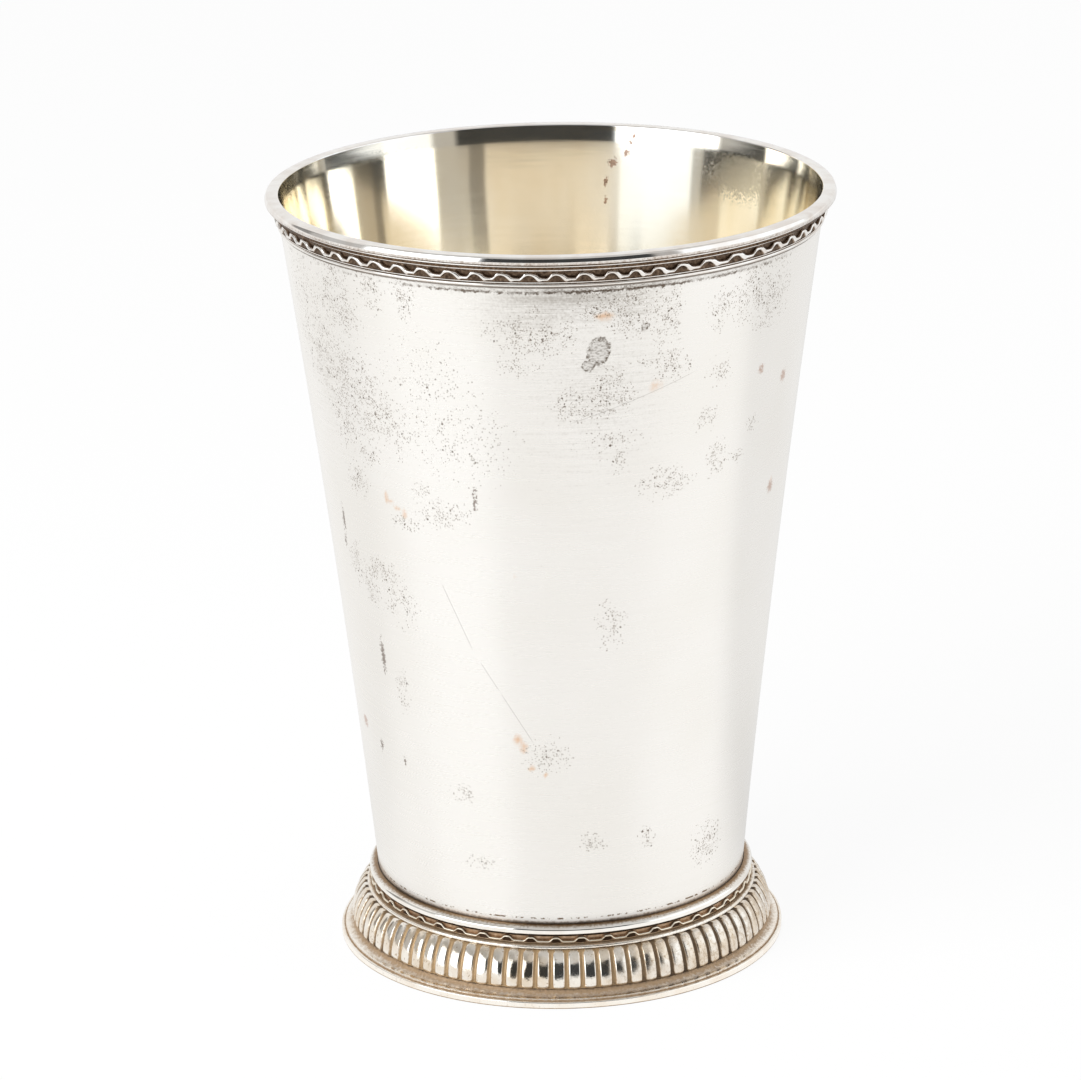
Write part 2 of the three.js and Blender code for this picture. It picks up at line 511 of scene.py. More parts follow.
@dataclass(frozen=True)
class Grain:
    """A soft noise: its features to a millimetre, its finer layers, their strength and its stretch."""

    scale: float
    detail: float = 2.0
    roughness: float = 0.5
    stretch: Optional[tuple[float, float, float]] = None

    def drawn(self, point: Signal) -> Signal:
        """Draws the noise.

        Args:
            point: where to read it, in millimetres.

        Returns:
            The noise, about 0.5 on average.
        """
        if self.stretch:
            point = point.stretched(self.stretch)
        return point.graph.add("ShaderNodeTexNoise", {}, {
            "Vector": point, "Scale": self.scale, "Detail": self.detail, "Roughness": self.roughness})


@dataclass(frozen=True)
class Surface:
    """What a finish feeds to its shader."""

    colour: Signal
    roughness: Signal
    height: Signal
    metal: Value = 1.0


@dataclass(frozen=True)
class Polish:
    """Polished silver with fine lines, and tarnish where the mesh is hollow; in some places the hollow value
    also paints shade.
    """

    name: str
    bright: Colour = shade(247, 244, 239)
    dull: Colour = shade(234, 226, 218)
    tarnish: Colour = shade(140, 114, 90)
    deep: Colour = shade(64, 48, 36)
    roughness: float = 0.1
    along: float = 0.0
    along_turn: float = 0.25
    hair: float = 4.0
    hair_length: float = 0.12
    hair_detail: float = 3.0
    hair_strength: float = 0.6
    streaky: float = 0.06
    depth: float = 0.0005 * MM
    spots: float = 0.0
    dirt: float = 0.25
    chalk: float = 0.0
    lay: Lay = Lay.ROUND
    clouds: Grain = Grain(0.25, 3.0)
    clouded: Band = (0.35, 0.7)
    grime: Grain = Grain(2.2, 4.0, 0.65)
    ragged: float = 0.7
    stained: Band = (0.3, 0.75)
    blackened: Band = (0.75, 1.15)
    flecks: Grain = Grain(1.7, 3.0, 0.6)
    flecked: Band = (0.6, 0.68)
    fleck_rough: float = 0.2

    def material(self) -> bpy.types.Material:
        """Makes the finish's material.

        Returns:
            The new material.
        """
        material = bpy.data.materials.new(self.name)
        material.use_nodes = True
        graph = Graph(material.node_tree)
        surface = self.surface(graph.place())
        normal = graph.add("ShaderNodeBump", {}, {
            "Strength": 1.0, "Distance": self.depth, "Height": surface.height})
        shader = graph.add("ShaderNodeBsdfPrincipled", {}, {
            "Base Color": surface.colour, "Metallic": surface.metal, "Roughness": surface.roughness,
            "Anisotropic": self.along, "Anisotropic Rotation": self.along_turn, "Normal": normal})
        graph.add("ShaderNodeOutputMaterial", {}, {"Surface": shader})
        return material

    def hairs(self, point: Signal) -> Signal:
        """Draws the fine lines that polishing leaves.

        Args:
            point: the point on the piece, in millimetres.

        Returns:
            The lines' noise.
        """
        if self.lay is Lay.ROUND:
            stretch = (self.hair_length, self.hair_length, self.hair)
            return Grain(1.0, self.hair_detail, self.hair_strength, stretch).drawn(point)
        radius = point.stretched((1.0, 1.0, 0.0)).length()
        return point.graph.add("ShaderNodeTexNoise", {"noise_dimensions": "1D"}, {
            "W": radius * self.hair, "Scale": 1.0, "Detail": self.hair_detail})

    def surface(self, point: Signal) -> Surface:
        """Works out the colour, roughness and height.

        Args:
            point: the point on the piece, in millimetres.

        Returns:
            The surface for the shader.
        """
        graph, hairs = point.graph, self.hairs(point)
        clouds, grime, flecks = (
            grain.drawn(point) for grain in (self.clouds, self.grime, self.flecks))
        hollow = graph.attribute(Layer.HOLLOW) + grime.swing(self.ragged)
        stain = hollow.between(*self.stained)
        flecks = flecks.between(*self.flecked) * self.spots
        colour = graph.coated(
            self.bright, (clouds.between(*self.clouded), self.dull), (stain, self.tarnish),
            (hollow.between(*self.blackened), self.deep), (flecks, self.tarnish))
        rough = self.roughness + hairs.swing(self.streaky) + stain * self.dirt + flecks * self.fleck_rough
        height = hairs * (1.0 - stain) + grime * stain
        return Surface(colour, rough, height, 1.0 - stain * self.chalk)


@dataclass(frozen=True)
class LobeSilver(Polish):
    """The lobes' silver: dull to the right, bright in front, nowhere quite even, with dirty grooves."""

    tan: Colour = shade(190, 160, 120)
    tan_cover: float = 0.75
    deep_cover: float = 0.72
    grooved: Band = (0.45, 0.85)
    groove_ragged: float = 0.5
    dark_right: Band = (2.0, 20.0)
    dark_left: Band = (25.0, 32.0)
    patches: Grain = Grain(0.35, 4.0, 0.65)
    patchy: float = 1.2
    patch_bias: float = 0.4
    rightwards: float = 0.03
    dulled: Band = (0.2, 0.8)
    mottle: Grain = Grain(1.3, 4.0, 0.65)
    mottled: Band = (0.45, 0.65)
    mottle_cover: float = 0.4
    dull_cover: float = 0.12
    matt: float = 0.15
    uneven: float = 40.0

    def surface(self, point: Signal) -> Surface:
        """Works out the colour, roughness and height.

        Args:
            point: the point on the ring, in millimetres.

        Returns:
            The surface for the shader.
        """
        graph, base = point.graph, super().surface(point)
        right, _, _ = point.axes()
        patches, mottle = (grain.drawn(point) for grain in (self.patches, self.mottle))
        dulled = (right * self.rightwards + patches * self.patchy - self.patch_bias).between(*self.dulled)
        tarnished = dulled * (self.dull_cover + mottle.between(*self.mottled) * self.mottle_cover)
        grooves = graph.attribute(Layer.HOLLOW) + mottle.swing(self.groove_ragged)
        grooves = grooves.between(*self.grooved)
        darker = right.between(*self.dark_right).either((-1.0 * right).between(*self.dark_left))
        colour = graph.coated(
            base.colour, (tarnished, self.tarnish), (grooves * (1.0 - darker) * self.tan_cover, self.tan),
            (grooves * darker * self.deep_cover, self.deep))
        rough = base.roughness + dulled * self.matt
        return Surface(colour, rough, base.height + mottle * self.uneven, base.metal)


@dataclass(frozen=True)
class Stain:
    """A stain that follows marks of one kind, with ragged edges."""

    kind: Blemish
    colour: Colour
    cover: float
    ragged: tuple[float, ...]
    edge: Band

    def mask(self, *noises: Signal) -> Signal:
        """Draws the stain.

        Args:
            noises: the noises that fray its edge, as many as the numbers of how ragged it is.

        Returns:
            1 in the stain and 0 outside.
        """
        value = noises[0].graph.attribute(self.kind)
        for noise, reach in zip(noises, self.ragged):
            value = value + noise.swing(reach)
        return value.between(*self.edge)


@dataclass(frozen=True)
class Scab:
    """A crusted stain, smeared inside and dark along its rind."""

    colour: Colour = shade(96, 76, 52)
    ragged: float = 0.3
    edge: Band = (0.45, 0.52)
    rind_from: Band = (0.42, 0.5)
    rind_to: Band = (0.52, 0.68)
    rind_broken: Band = (0.4, 0.6)
    rind_cover: float = 0.55
    smeared: Band = (0.42, 0.66)
    smear_cover: float = 0.42
    film_cover: float = 0.1

    def mask(self, grime: Signal, grains: Signal, smear: Signal) -> Signal:
        """Draws the scab.

        Args:
            grime: coarse noise, which frays the edge.
            grains: fine noise, which breaks the rind.
            smear: drawn-out noise, which fills the inside.

        Returns:
            How much of the silver is covered.
        """
        place = grime.graph.attribute(Blemish.SCAB) + grime.swing(self.ragged)
        rind = place.between(*self.rind_from) - place.between(*self.rind_to)
        rind = rind * grains.between(*self.rind_broken)
        filled = self.film_cover + smear.between(*self.smeared) * self.smear_cover
        return place.between(*self.edge) * filled + rind * self.rind_cover


@dataclass(frozen=True)
class Dots:
    """Round pits, at most one to a cell of a random pattern.

    The scale is in cells to a millimetre. The share of the cells that hold a pit is crowding in
    a full patch, and strays elsewhere. The reach is a pit's radius, as a share of a cell.
    """

    colour: Colour
    cover: float
    scale: float
    crowding: float
    strays: float
    reach: float
    flat: float = 0.6
    blur: float = 0.06

    def mask(self, point: Signal, crowd: Signal) -> Signal:
        """Scatters the pits.

        Args:
            point: the point on the wall, in millimetres.
            crowd: how full the patch is there.

        Returns:
            1 in a pit and 0 outside.
        """
        cell = point.graph.add("ShaderNodeTexVoronoi", {}, {"Vector": point, "Scale": self.scale})
        number = point.graph.add("ShaderNodeSeparateColor", {}, {0: cell.output("Color")})
        filled = (crowd * self.crowding + self.strays - number).between(0.0, self.blur)
        return (1.0 - cell.between(self.flat * self.reach, self.reach)) * filled


@dataclass(frozen=True)
class EdgeLine:
    """A ragged dark line along an edge of the wall, right at the edge or some way from it: dirt, and right
    under the bead also painted shade.
    """

    ragged: float
    width: Band
    cover: float
    away: Optional[float] = None

    def mask(self, distance: Signal, noise: Signal) -> Signal:
        """Draws the line.

        Args:
            distance: the distance from the edge, in millimetres.
            noise: a noise that swings about 0.

        Returns:
            How much of the silver is covered.
        """
        off = distance + noise * self.ragged
        if self.away is not None:
            off = (off - self.away).size()
        return (1.0 - off.between(*self.width)) * self.cover


@dataclass(frozen=True)
class Scratch:
    """A fine straight line on the wall, from one azimuth and level to another."""

    start: tuple[float, float]
    end: tuple[float, float]
    width: float = 0.1
    core: float = 0.4
    fade: float = 0.15

    def mask(self, turn: Signal, level: Signal, radius: float) -> Signal:
        """Draws the line.

        Args:
            turn: the distance round the wall from the front, in millimetres.
            level: the height, in millimetres.
            radius: the wall's mean radius there, in millimetres.

        Returns:
            1 on the line and 0 off it.
        """
        first = (math.radians(self.start[0]) * radius, self.start[1])
        second = (math.radians(self.end[0]) * radius, self.end[1])
        length = math.dist(first, second)
        run, climb = (second[0] - first[0]) / length, (second[1] - first[1]) / length
        across, up = turn - first[0], level - first[1]
        along = across * run + up * climb
        off = (up * run - across * climb).size()
        fade = self.fade * length
        inside = along.between(0.0, fade) * (1.0 - along.between(length - fade, length))
        return (1.0 - off.between(self.core * self.width, self.width)) * inside


SCRATCHES = (
    Scratch((-29.97, 70.3), (-22.0, 58.6)), Scratch((-20.5, 57.2), (-15.6, 52.3)),
    Scratch((-15.6, 52.3), (-6.7, 43.4)), Scratch((1.3, 97.2), (33.4, 104.5), 0.08),
)


@dataclass(frozen=True)
class WallSilver(Polish):
    """The cup's satin silver, with pits, stains, scratches and tarnish along its two edges, and painted shade
    right under the bead.
    """

    low: float = 12.0
    high: float = 119.9
    radius: float = 37.0
    clouds: Grain = Grain(0.05)
    clouded: Band = (0.3, 0.7)
    cloud_cover: float = 0.35
    lines: Grain = Grain(1.0, stretch=(0.03, 0.03, 1.6))
    lined: Band = (0.5, 0.75)
    line_cover: float = 0.1
    grains: Grain = Grain(2.6, roughness=0.6)
    fine: Grain = Grain(6.0, roughness=0.6)
    grime: Grain = Grain(0.9, 4.0, 0.65)
    smear: Grain = Grain(1.0, 3.0, 0.65, (1.6, 1.6, 4.2))
    patches: Grain = Grain(0.6, 3.0, 0.6)
    patchy: Band = (0.3, 0.6)
    pitted: Band = (0.0, 0.75)
    pit_shift: float = 0.4
    pit_fray: float = 0.25
    specks: Dots = Dots(shade(118, 100, 80), 0.6, 3.7, 0.8, 0.006, 0.52)
    pits: Dots = Dots(shade(90, 72, 54), 0.9, 2.2, 0.2, 0.003, 0.44)
    dust: Colour = shade(196, 186, 174)
    dust_cover: float = 0.5
    dust_mix: tuple[float, float, float] = (0.7, 0.3, 0.06)
    dusted: Band = (0.6, 0.68)
    haze: Stain = Stain(Blemish.HAZE, shade(142, 128, 106), 0.5, (1.1, 1.0), (0.2, 1.3))
    copper: Stain = Stain(Blemish.COPPER, shade(232, 180, 130), 0.7, (0.7,), (0.3, 0.95))
    rust: Stain = Stain(Blemish.RUST, shade(178, 126, 94), 0.6, (0.9,), (0.35, 0.75))
    streak: Stain = Stain(Blemish.STREAK, shade(112, 92, 78), 0.75, (1.7,), (0.42, 0.66))
    scab: Scab = Scab()
    # Colour of the tarnish under the rim, and of the painted shade in the dark line right under the bead.
    rim_soot_and_shade: Colour = shade(98, 79, 60)
    rim_ragged: tuple[float, float] = (0.9, 0.7)
    rim_line: EdgeLine = EdgeLine(-1.0, (0.06, 0.36), 0.9, 0.9)
    rim_line_gaps: float = 2.4
    rim_line_kept: Band = (0.2, 0.9)
    rim_smoke: EdgeLine = EdgeLine(1.2, (0.3, 1.6), 0.5)
    rim_smoke_kept: Band = (0.1, 0.9)
    rim_smoke_grain: Band = (0.35, 0.7)
    # The dark line right under the bead: tarnish at the joint and painted shade under the bead.
    rim_seam_shade: EdgeLine = EdgeLine(0.2, (0.2, 0.42), 0.8)
    foot_ragged: tuple[float, float] = (0.9, 0.5)
    foot_seam: EdgeLine = EdgeLine(0.9, (0.05, 0.5), 0.8)
    foot_dashes: EdgeLine = EdgeLine(0.3, (0.05, 0.2), 1.0, 0.95)
    foot_dash_gaps: Band = (0.5, 0.56)
    scratches: tuple[Scratch, ...] = SCRATCHES
    scratch_cover: float = 0.25
    stain_rough: float = 0.18
    hair_height: float = 0.5
    pit_depth: float = 2.0
    scab_depth: float = 1.5

    def surface(self, point: Signal) -> Surface:
        """Works out the colour, roughness and height.

        Args:
            point: the point on the wall, in millimetres.

        Returns:
            The surface for the shader.
        """
        _, _, level = point.axes()
        turn = point.azimuth() * self.radius
        graph, hairs = point.graph, self.hairs(point)
        clouds, lines, grains, fine, grime, smear, patches = (
            grain.drawn(point) for grain in (
                self.clouds, self.lines, self.grains, self.fine, self.grime, self.smear, self.patches))

        pitted = graph.attribute(Blemish.PITS).between(*self.pitted)
        crowd = pitted * patches.between(*self.patchy)
        moved = point.shifted(grains, self.pit_shift).shifted(fine, self.pit_fray)
        specks, pits = (dots.mask(moved, crowd) for dots in (self.specks, self.pits))
        mix = self.dust_mix
        dust = (fine * mix[0] + smear * mix[1] + crowd * mix[2]).between(*self.dusted) * pitted
        haze = self.haze.mask(hairs, grains)
        scab = self.scab.mask(grime, grains, smear)
        rim = self.rim_dirt_and_shade(self.high - level, grime, grains)
        foot = self.foot_dirt(level - self.low, grime, grains)
        worn = 0.0
        for scratch in self.scratches:
            worn = scratch.mask(turn, level, self.radius) + worn

        colour = graph.coated(
            self.bright,
            (clouds.between(*self.clouded) * self.cloud_cover, self.dull),
            (lines.between(*self.lined) * self.line_cover, self.dull),
            (haze * self.haze.cover, self.haze.colour),
            (self.copper.mask(grime) * self.copper.cover, self.copper.colour),
            (dust * self.dust_cover, self.dust),
            (specks * self.specks.cover, self.specks.colour),
            (pits * self.pits.cover, self.pits.colour),
            (self.rust.mask(grains) * self.rust.cover, self.rust.colour),
            (scab, self.scab.colour),
            (self.streak.mask(grains) * self.streak.cover, self.streak.colour),
            (worn * self.scratch_cover, self.pits.colour),
            (rim, self.rim_soot_and_shade),
            (foot, self.tarnish))
        rough = self.roughness + hairs.swing(self.streaky) + (rim + foot + scab + haze) * self.stain_rough
        height = hairs * self.hair_height - (pits + worn) * self.pit_depth - scab * self.scab_depth
        return Surface(colour, rough, height)

    def rim_dirt_and_shade(self, drop: Signal, grime: Signal, grains: Signal) -> Signal:
        """Draws the dirt and painted shade under the rim: a broken line, smoke above it and a dark seam at
        the top, which is partly painted shade under the bead.

        Args:
            drop: the distance down from the bead, in millimetres.
            grime: coarse noise.
            grains: fine noise.

        Returns:
            1 where the wall is dark and 0 where it is clean.
        """
        dirty = drop.graph.attribute(Blemish.EDGE)
        ragged = grime.swing(self.rim_ragged[0]) + grains.swing(self.rim_ragged[1])
        kept = (dirty + grime.swing(self.rim_line_gaps)).between(*self.rim_line_kept)
        smoky = dirty.between(*self.rim_smoke_kept) * grains.between(*self.rim_smoke_grain)
        line = self.rim_line.mask(drop, ragged) * kept
        smoke = self.rim_smoke.mask(drop, grime.swing(1.0)) * smoky
        return line.either(smoke).either(self.rim_seam_shade.mask(drop, ragged))

    def foot_dirt(self, lift: Signal, grime: Signal, grains: Signal) -> Signal:
        """Draws the tarnish above the foot: an even seam, and dashes a little above it.

        Args:
            lift: the distance up from the collar, in millimetres.
            grime: coarse noise.
            grains: fine noise.

        Returns:
            1 where the wall is brown and 0 where it is clean.
        """
        ragged = grime.swing(self.foot_ragged[0]) + grains.swing(self.foot_ragged[1])
        dashes = self.foot_dashes.mask(lift, ragged) * grime.between(*self.foot_dash_gaps)
        return self.foot_seam.mask(lift, ragged).either(dashes)


@dataclass(frozen=True)
class Gilding(Polish):
    """The pale gold of the inside, with rust-red stains and worn grains near the mouth, and a painted
    highlight that pales the gold at the two sides.
    """

    streaky: float = 0.08
    clouds: Grain = Grain(0.07, 3.0)
    clouded: Band = (0.3, 0.75)
    lines: Grain = Grain(1.0, 3.0, 0.6, (0.05, 0.05, 1.1))
    lined: Band = (0.5, 0.75)
    line_cover: float = 0.35
    grains: Grain = Grain(2.4, 3.0, 0.6)
    # Paler gold at the two sides is a painted highlight, where bright reflections wash out the gold; the
    # marks add rubbed wear in the same colour.
    rubbed: Colour = shade(253, 250, 242)
    rubbed_marks: Band = (0.0, 0.6)
    sheen_aside: Band = (21.0, 39.9)
    worn: Stain = Stain(Blemish.WORN, shade(212, 208, 196), 0.6, (1.1,), (0.45, 0.75))
    worn_rough: float = 0.08
    rust: Stain = Stain(Blemish.RUST, shade(150, 98, 62), 0.75, (1.1,), (0.45, 0.62))
    rust_rough: float = 0.2
    hair_height: float = 0.5

    def surface(self, point: Signal) -> Surface:
        """Works out the colour, roughness and height.

        Args:
            point: the point on the inside, in millimetres.

        Returns:
            The surface for the shader.
        """
        graph, hairs = point.graph, self.hairs(point)
        clouds, lines, grains = (
            grain.drawn(point) for grain in (self.clouds, self.lines, self.grains))
        across, _, _ = point.axes()
        # Painted highlight at the two sides, and rubbed wear where the marks lie.
        rubbed = across.size().between(*self.sheen_aside)
        rubbed = rubbed.either(graph.attribute(Blemish.RUBBED).between(*self.rubbed_marks))
        worn, rust = (stain.mask(grains) for stain in (self.worn, self.rust))
        colour = graph.coated(
            self.bright, (clouds.between(*self.clouded), self.dull),
            (lines.between(*self.lined) * self.line_cover, self.dull), (rubbed, self.rubbed),
            (worn * self.worn.cover, self.worn.colour), (rust * self.rust.cover, self.rust.colour))
        rough = self.roughness + hairs.swing(self.streaky) + worn * self.worn_rough + rust * self.rust_rough
        return Surface(colour, rough, hairs * self.hair_height + grains * worn)


@dataclass(frozen=True)
class Mark:
    """A blemish: its kind, middle, half sizes in millimetres and strength."""

    kind: Blemish
    azimuth: float
    level: float
    across: float
    along: float
    strength: float = 1.0

    def at(self, turn: float, level: float, radius: float) -> float:
        """Gives the mark's strength at a point.

        Args:
            turn: the point's azimuth.
            level: its height, in millimetres.
            radius: its distance from the axis, in millimetres.

        Returns:
            The strength, full in the middle and 0 at twice the half sizes.
        """
        up = (level - self.level) / self.along
        if abs(up) > MARK_REACH:
            return 0.0
        away = (turn - self.azimuth + FULL_TURN / 2.0) % FULL_TURN - FULL_TURN / 2.0
        side = math.radians(away) * radius / self.across
        return self.strength * max(0.0, 1.0 - math.hypot(side, up) / MARK_REACH)


def marks(kind: Blemish, *rows: tuple[float, ...]) -> tuple[Mark, ...]:
    """Makes marks of one kind from rows of azimuth, level, half sizes and, where it isn't 1, strength."""
    return tuple(Mark(kind, *row) for row in rows)


OUTSIDE_MARKS = (
    *marks(Blemish.SCAB, (9.5, 109.3, 1.75, 2.2), (7.2, 107.0, 1.1, 1.0), (19.3, 112.6, 0.9, 0.6)),
    *marks(
        Blemish.COPPER, (10.6, 114.9, 1.8, 0.7), (22.4, 102.7, 1.5, 1.1, 0.75), (-44.0, 82.6, 0.5, 1.0),
        (-42.9, 81.8, 0.8, 0.5), (-40.6, 81.0, 0.9, 0.45, 0.9), (-38.6, 80.5, 0.6, 0.9),
        (-11.3, 44.2, 0.8, 1.0), (-9.7, 42.8, 0.7, 1.0), (-7.7, 39.4, 0.6, 0.6), (-3.9, 38.1, 0.4, 0.5),
        (-10.2, 72.5, 0.4, 0.4), (20.9, 102.7, 1.3, 0.9, 0.45), (64.1, 81.2, 0.7, 0.8, 0.6),
        (154.0, 95.0, 1.2, 0.8, 0.8), (-114.0, 44.0, 0.8, 1.0)),
    *marks(
        Blemish.RUST, (52.6, 101.4, 0.8, 0.8), (63.6, 98.5, 1.0, 1.0), (64.1, 80.0, 1.1, 1.1, 0.95),
        (-70.8, 39.9, 1.0, 1.0), (2.0, 34.5, 0.3, 0.3)),
    *marks(
        Blemish.STREAK, (139.0, 52.0, 0.4, 2.4), (-142.0, 79.0, 0.4, 1.8), (-64.6, 75.7, 0.4, 2.2),
        (-65.5, 71.8, 0.3, 1.3), (-53.4, 54.4, 0.5, 2.8), (-19.1, 85.7, 0.4, 0.8),
        (-19.1, 83.8, 0.3, 1.2), (-60.4, 37.7, 0.5, 0.9), (-49.2, 36.7, 0.4, 0.8)),
    *marks(
        Blemish.HAZE, (3.6, 117.9, 12.0, 1.6), (-1.5, 115.6, 13.0, 3.2, 0.62),
        (15.0, 116.5, 6.0, 4.0, 0.6), (9.0, 104.0, 11.0, 14.0, 0.42), (-63.0, 100.0, 7.0, 14.0, 0.4)),
    *marks(
        Blemish.EDGE, (8.0, 119.0, 12.0, 4.0), (40.0, 119.0, 12.0, 4.0, 0.7),
        (-45.0, 119.0, 20.0, 4.0, 0.35), (150.0, 119.0, 30.0, 4.0, 0.7), (20.0, 119.0, 10.0, 4.0),
        (-18.0, 119.0, 10.0, 4.0, 0.8)),
    *marks(
        Blemish.PITS, (-66.3, 112.4, 5.0, 6.0, 0.55), (-52.9, 115.4, 4.0, 5.0, 0.7),
        (-49.5, 111.9, 3.0, 3.0, 0.7), (-41.1, 117.1, 2.0, 2.5, 0.8), (-32.3, 116.9, 1.4, 3.0, 0.9),
        (-63.3, 104.7, 6.0, 5.0, 0.65), (-57.7, 102.4, 5.0, 4.0, 0.75), (-51.4, 100.1, 5.0, 5.0, 0.9),
        (-47.7, 98.2, 4.0, 5.0, 0.9), (-42.3, 96.5, 4.0, 3.0, 0.9), (-55.2, 94.5, 3.0, 4.0, 0.8),
        (-28.8, 102.9, 7.0, 6.0, 0.4), (-22.6, 94.4, 8.0, 6.0, 0.4), (-17.3, 93.1, 4.0, 5.0, 0.45),
        (-49.0, 88.9, 2.0, 2.0, 0.8), (-53.9, 84.3, 2.0, 2.0, 0.8), (-37.1, 93.0, 3.0, 3.0, 0.5),
        (-4.1, 111.7, 5.0, 2.2), (-7.7, 112.8, 4.0, 1.6, 0.9), (-3.7, 115.9, 0.9, 0.7),
        (-8.0, 107.0, 3.0, 1.5, 0.6), (3.1, 100.8, 2.0, 2.5, 0.8), (8.3, 101.1, 3.0, 2.0, 0.8),
        (12.2, 104.1, 2.0, 2.0, 0.8), (14.2, 101.7, 2.0, 1.6, 0.9), (13.2, 99.5, 1.2, 1.0, 0.9),
        (7.7, 116.7, 2.0, 2.0, 0.9), (15.0, 116.6, 4.0, 2.4), (16.6, 113.0, 2.4, 1.4),
        (24.1, 113.6, 1.8, 4.5, 0.9), (25.2, 106.7, 1.8, 2.6), (19.8, 106.9, 3.0, 0.8, 0.6),
        (28.4, 105.4, 1.4, 1.2, 0.9), (37.9, 113.9, 2.0, 2.2, 0.8), (37.6, 111.1, 1.0, 1.0, 0.9),
        (49.2, 114.8, 6.0, 4.0, 0.8), (52.7, 112.2, 4.0, 3.0, 0.8), (38.5, 103.1, 2.0, 2.0, 0.6),
        (39.9, 88.8, 1.6, 2.2, 0.9), (46.5, 88.3, 1.2, 0.9, 0.8), (26.2, 86.5, 3.4, 1.8, 0.9),
        (51.4, 92.6, 1.1, 1.0), (36.2, 95.9, 2.0, 1.5, 0.7), (14.4, 91.0, 1.0, 1.3),
        (12.9, 94.3, 4.0, 2.0, 0.5), (-49.5, 69.3, 4.0, 1.6, 0.9), (-54.4, 66.0, 1.6, 2.4, 0.8),
        (-60.3, 69.4, 1.8, 3.0, 0.7), (-44.1, 64.4, 3.0, 3.0, 0.6), (-28.0, 81.6, 3.4, 1.8, 0.8),
        (-38.7, 79.1, 2.0, 0.9), (-32.9, 85.2, 1.4, 0.9, 0.9), (-46.4, 49.5, 1.2, 2.6, 0.8),
        (-3.0, 41.6, 3.0, 2.2, 0.7), (-28.8, 33.8, 1.8, 1.2, 0.8), (13.4, 63.7, 2.0, 3.0, 0.6),
        (49.0, 21.7, 2.6, 3.0, 0.9), (25.6, 26.0, 1.2, 1.4), (8.6, 26.1, 2.0, 1.2, 0.8),
        (-24.9, 22.0, 2.0, 1.0, 0.6), (96.0, 45.0, 1.6, 2.4, 0.8), (101.0, 49.0, 2.2, 1.0, 0.6),
        (118.0, 86.0, 3.0, 1.6, 0.7), (125.0, 83.0, 1.8, 3.0, 0.8), (131.0, 89.0, 4.0, 2.0, 0.5),
        (110.0, 108.0, 5.0, 3.0, 0.6), (117.0, 112.0, 2.0, 4.0, 0.7), (148.0, 104.0, 1.4, 1.0),
        (158.0, 72.0, 2.4, 1.2, 0.7), (172.0, 60.0, 1.6, 3.0, 0.8), (177.0, 55.0, 3.4, 1.4, 0.5),
        (-168.0, 111.0, 6.0, 2.4, 0.6), (-160.0, 107.0, 2.4, 2.0, 0.8), (-155.0, 36.0, 2.6, 1.4, 0.8),
        (-148.0, 31.0, 1.2, 2.0, 0.7), (-134.0, 101.0, 3.0, 4.0, 0.7), (-126.0, 96.0, 4.0, 2.4, 0.8),
        (-119.0, 92.0, 1.8, 1.4), (-108.0, 64.0, 1.4, 2.8, 0.7), (-97.0, 24.0, 2.6, 1.4, 0.7)),
)
INSIDE_MARKS = (
    *marks(
        Blemish.RUST, (165.4, 118.8, 0.9, 0.4), (163.6, 119.6, 0.8, 0.4), (162.2, 120.6, 0.6, 0.45, 0.9),
        (161.2, 122.3, 0.4, 0.6), (160.6, 123.4, 0.35, 0.5, 0.9), (167.0, 115.6, 0.42, 1.2, 0.95),
        (166.9, 112.6, 0.4, 0.7, 0.9), (175.9, 116.3, 0.35, 0.7, 0.8), (28.0, 60.0, 0.7, 1.2)),
    *marks(Blemish.RUBBED, (156.0, 115.0, 7.0, 14.0)),
    *marks(
        Blemish.WORN, (132.0, 119.0, 8.0, 4.0), (150.0, 122.5, 14.0, 1.2, 0.7),
        (-140.0, 122.5, 16.0, 1.2, 0.7)),
)


@dataclass(frozen=True)
class Finishes:
    """The materials of the whole beaker."""

    wall: bpy.types.Material
    gilding: bpy.types.Material
    gilt_floor: bpy.types.Material
    underside: bpy.types.Material
    bright: bpy.types.Material
    collar: bpy.types.Material
    border: bpy.types.Material
    foot_border: bpy.types.Material
    lobes: bpy.types.Material
    base: bpy.types.Material

    @classmethod
    def mixed(cls, wall_low: float, wall_high: float) -> "Finishes":
        """Makes every material.

        Args:
            wall_low: the level of the collar's top.
            wall_high: the level of the bead's underside.

        Returns:
            The set of materials.
        """
        pale, gold = shade(249, 240, 222), shade(245, 233, 211)
        finishes = {
            "wall": WallSilver(
                "satin_silver", shade(251, 248, 243), shade(243, 239, 231), shade(130, 104, 76),
                roughness=0.28, along=0.82, hair=5.0, depth=0.0006 * MM, low=wall_low / MM,
                high=wall_high / MM),
            "gilding": Gilding("pale_gilding", pale, gold, roughness=0.085, along=0.8, hair=3.0),
            "gilt_floor": Gilding("gilt_floor", pale, gold, roughness=0.16, lay=Lay.RINGS),
            "underside": Polish("turned_underside", roughness=0.2, lay=Lay.RINGS),
            "bright": Polish("polished_silver", roughness=0.08),
            "collar": Polish(
                "collar_silver", shade(252, 249, 243), shade(245, 239, 230), shade(154, 124, 90),
                roughness=0.06),
            "border": Polish(
                "tarnished_border", tarnish=shade(140, 118, 98), deep=shade(66, 52, 42), roughness=0.14),
            "foot_border": Polish(
                "warm_border", shade(250, 240, 222), shade(240, 226, 202), shade(172, 142, 114),
                shade(62, 46, 34), roughness=0.14),
            "lobes": LobeSilver(
                "lobed_silver", shade(247, 241, 231), shade(232, 217, 196), shade(174, 146, 112),
                shade(70, 55, 41), spots=0.6, chalk=0.5),
            "base": Polish(
                "base_silver", shade(254, 249, 240), shade(250, 240, 226), shade(184, 157, 126),
                shade(92, 75, 61), roughness=0.16, spots=0.2, dirt=0.45, chalk=0.4),
        }
        return cls(**{name: finish.material() for name, finish in finishes.items()})


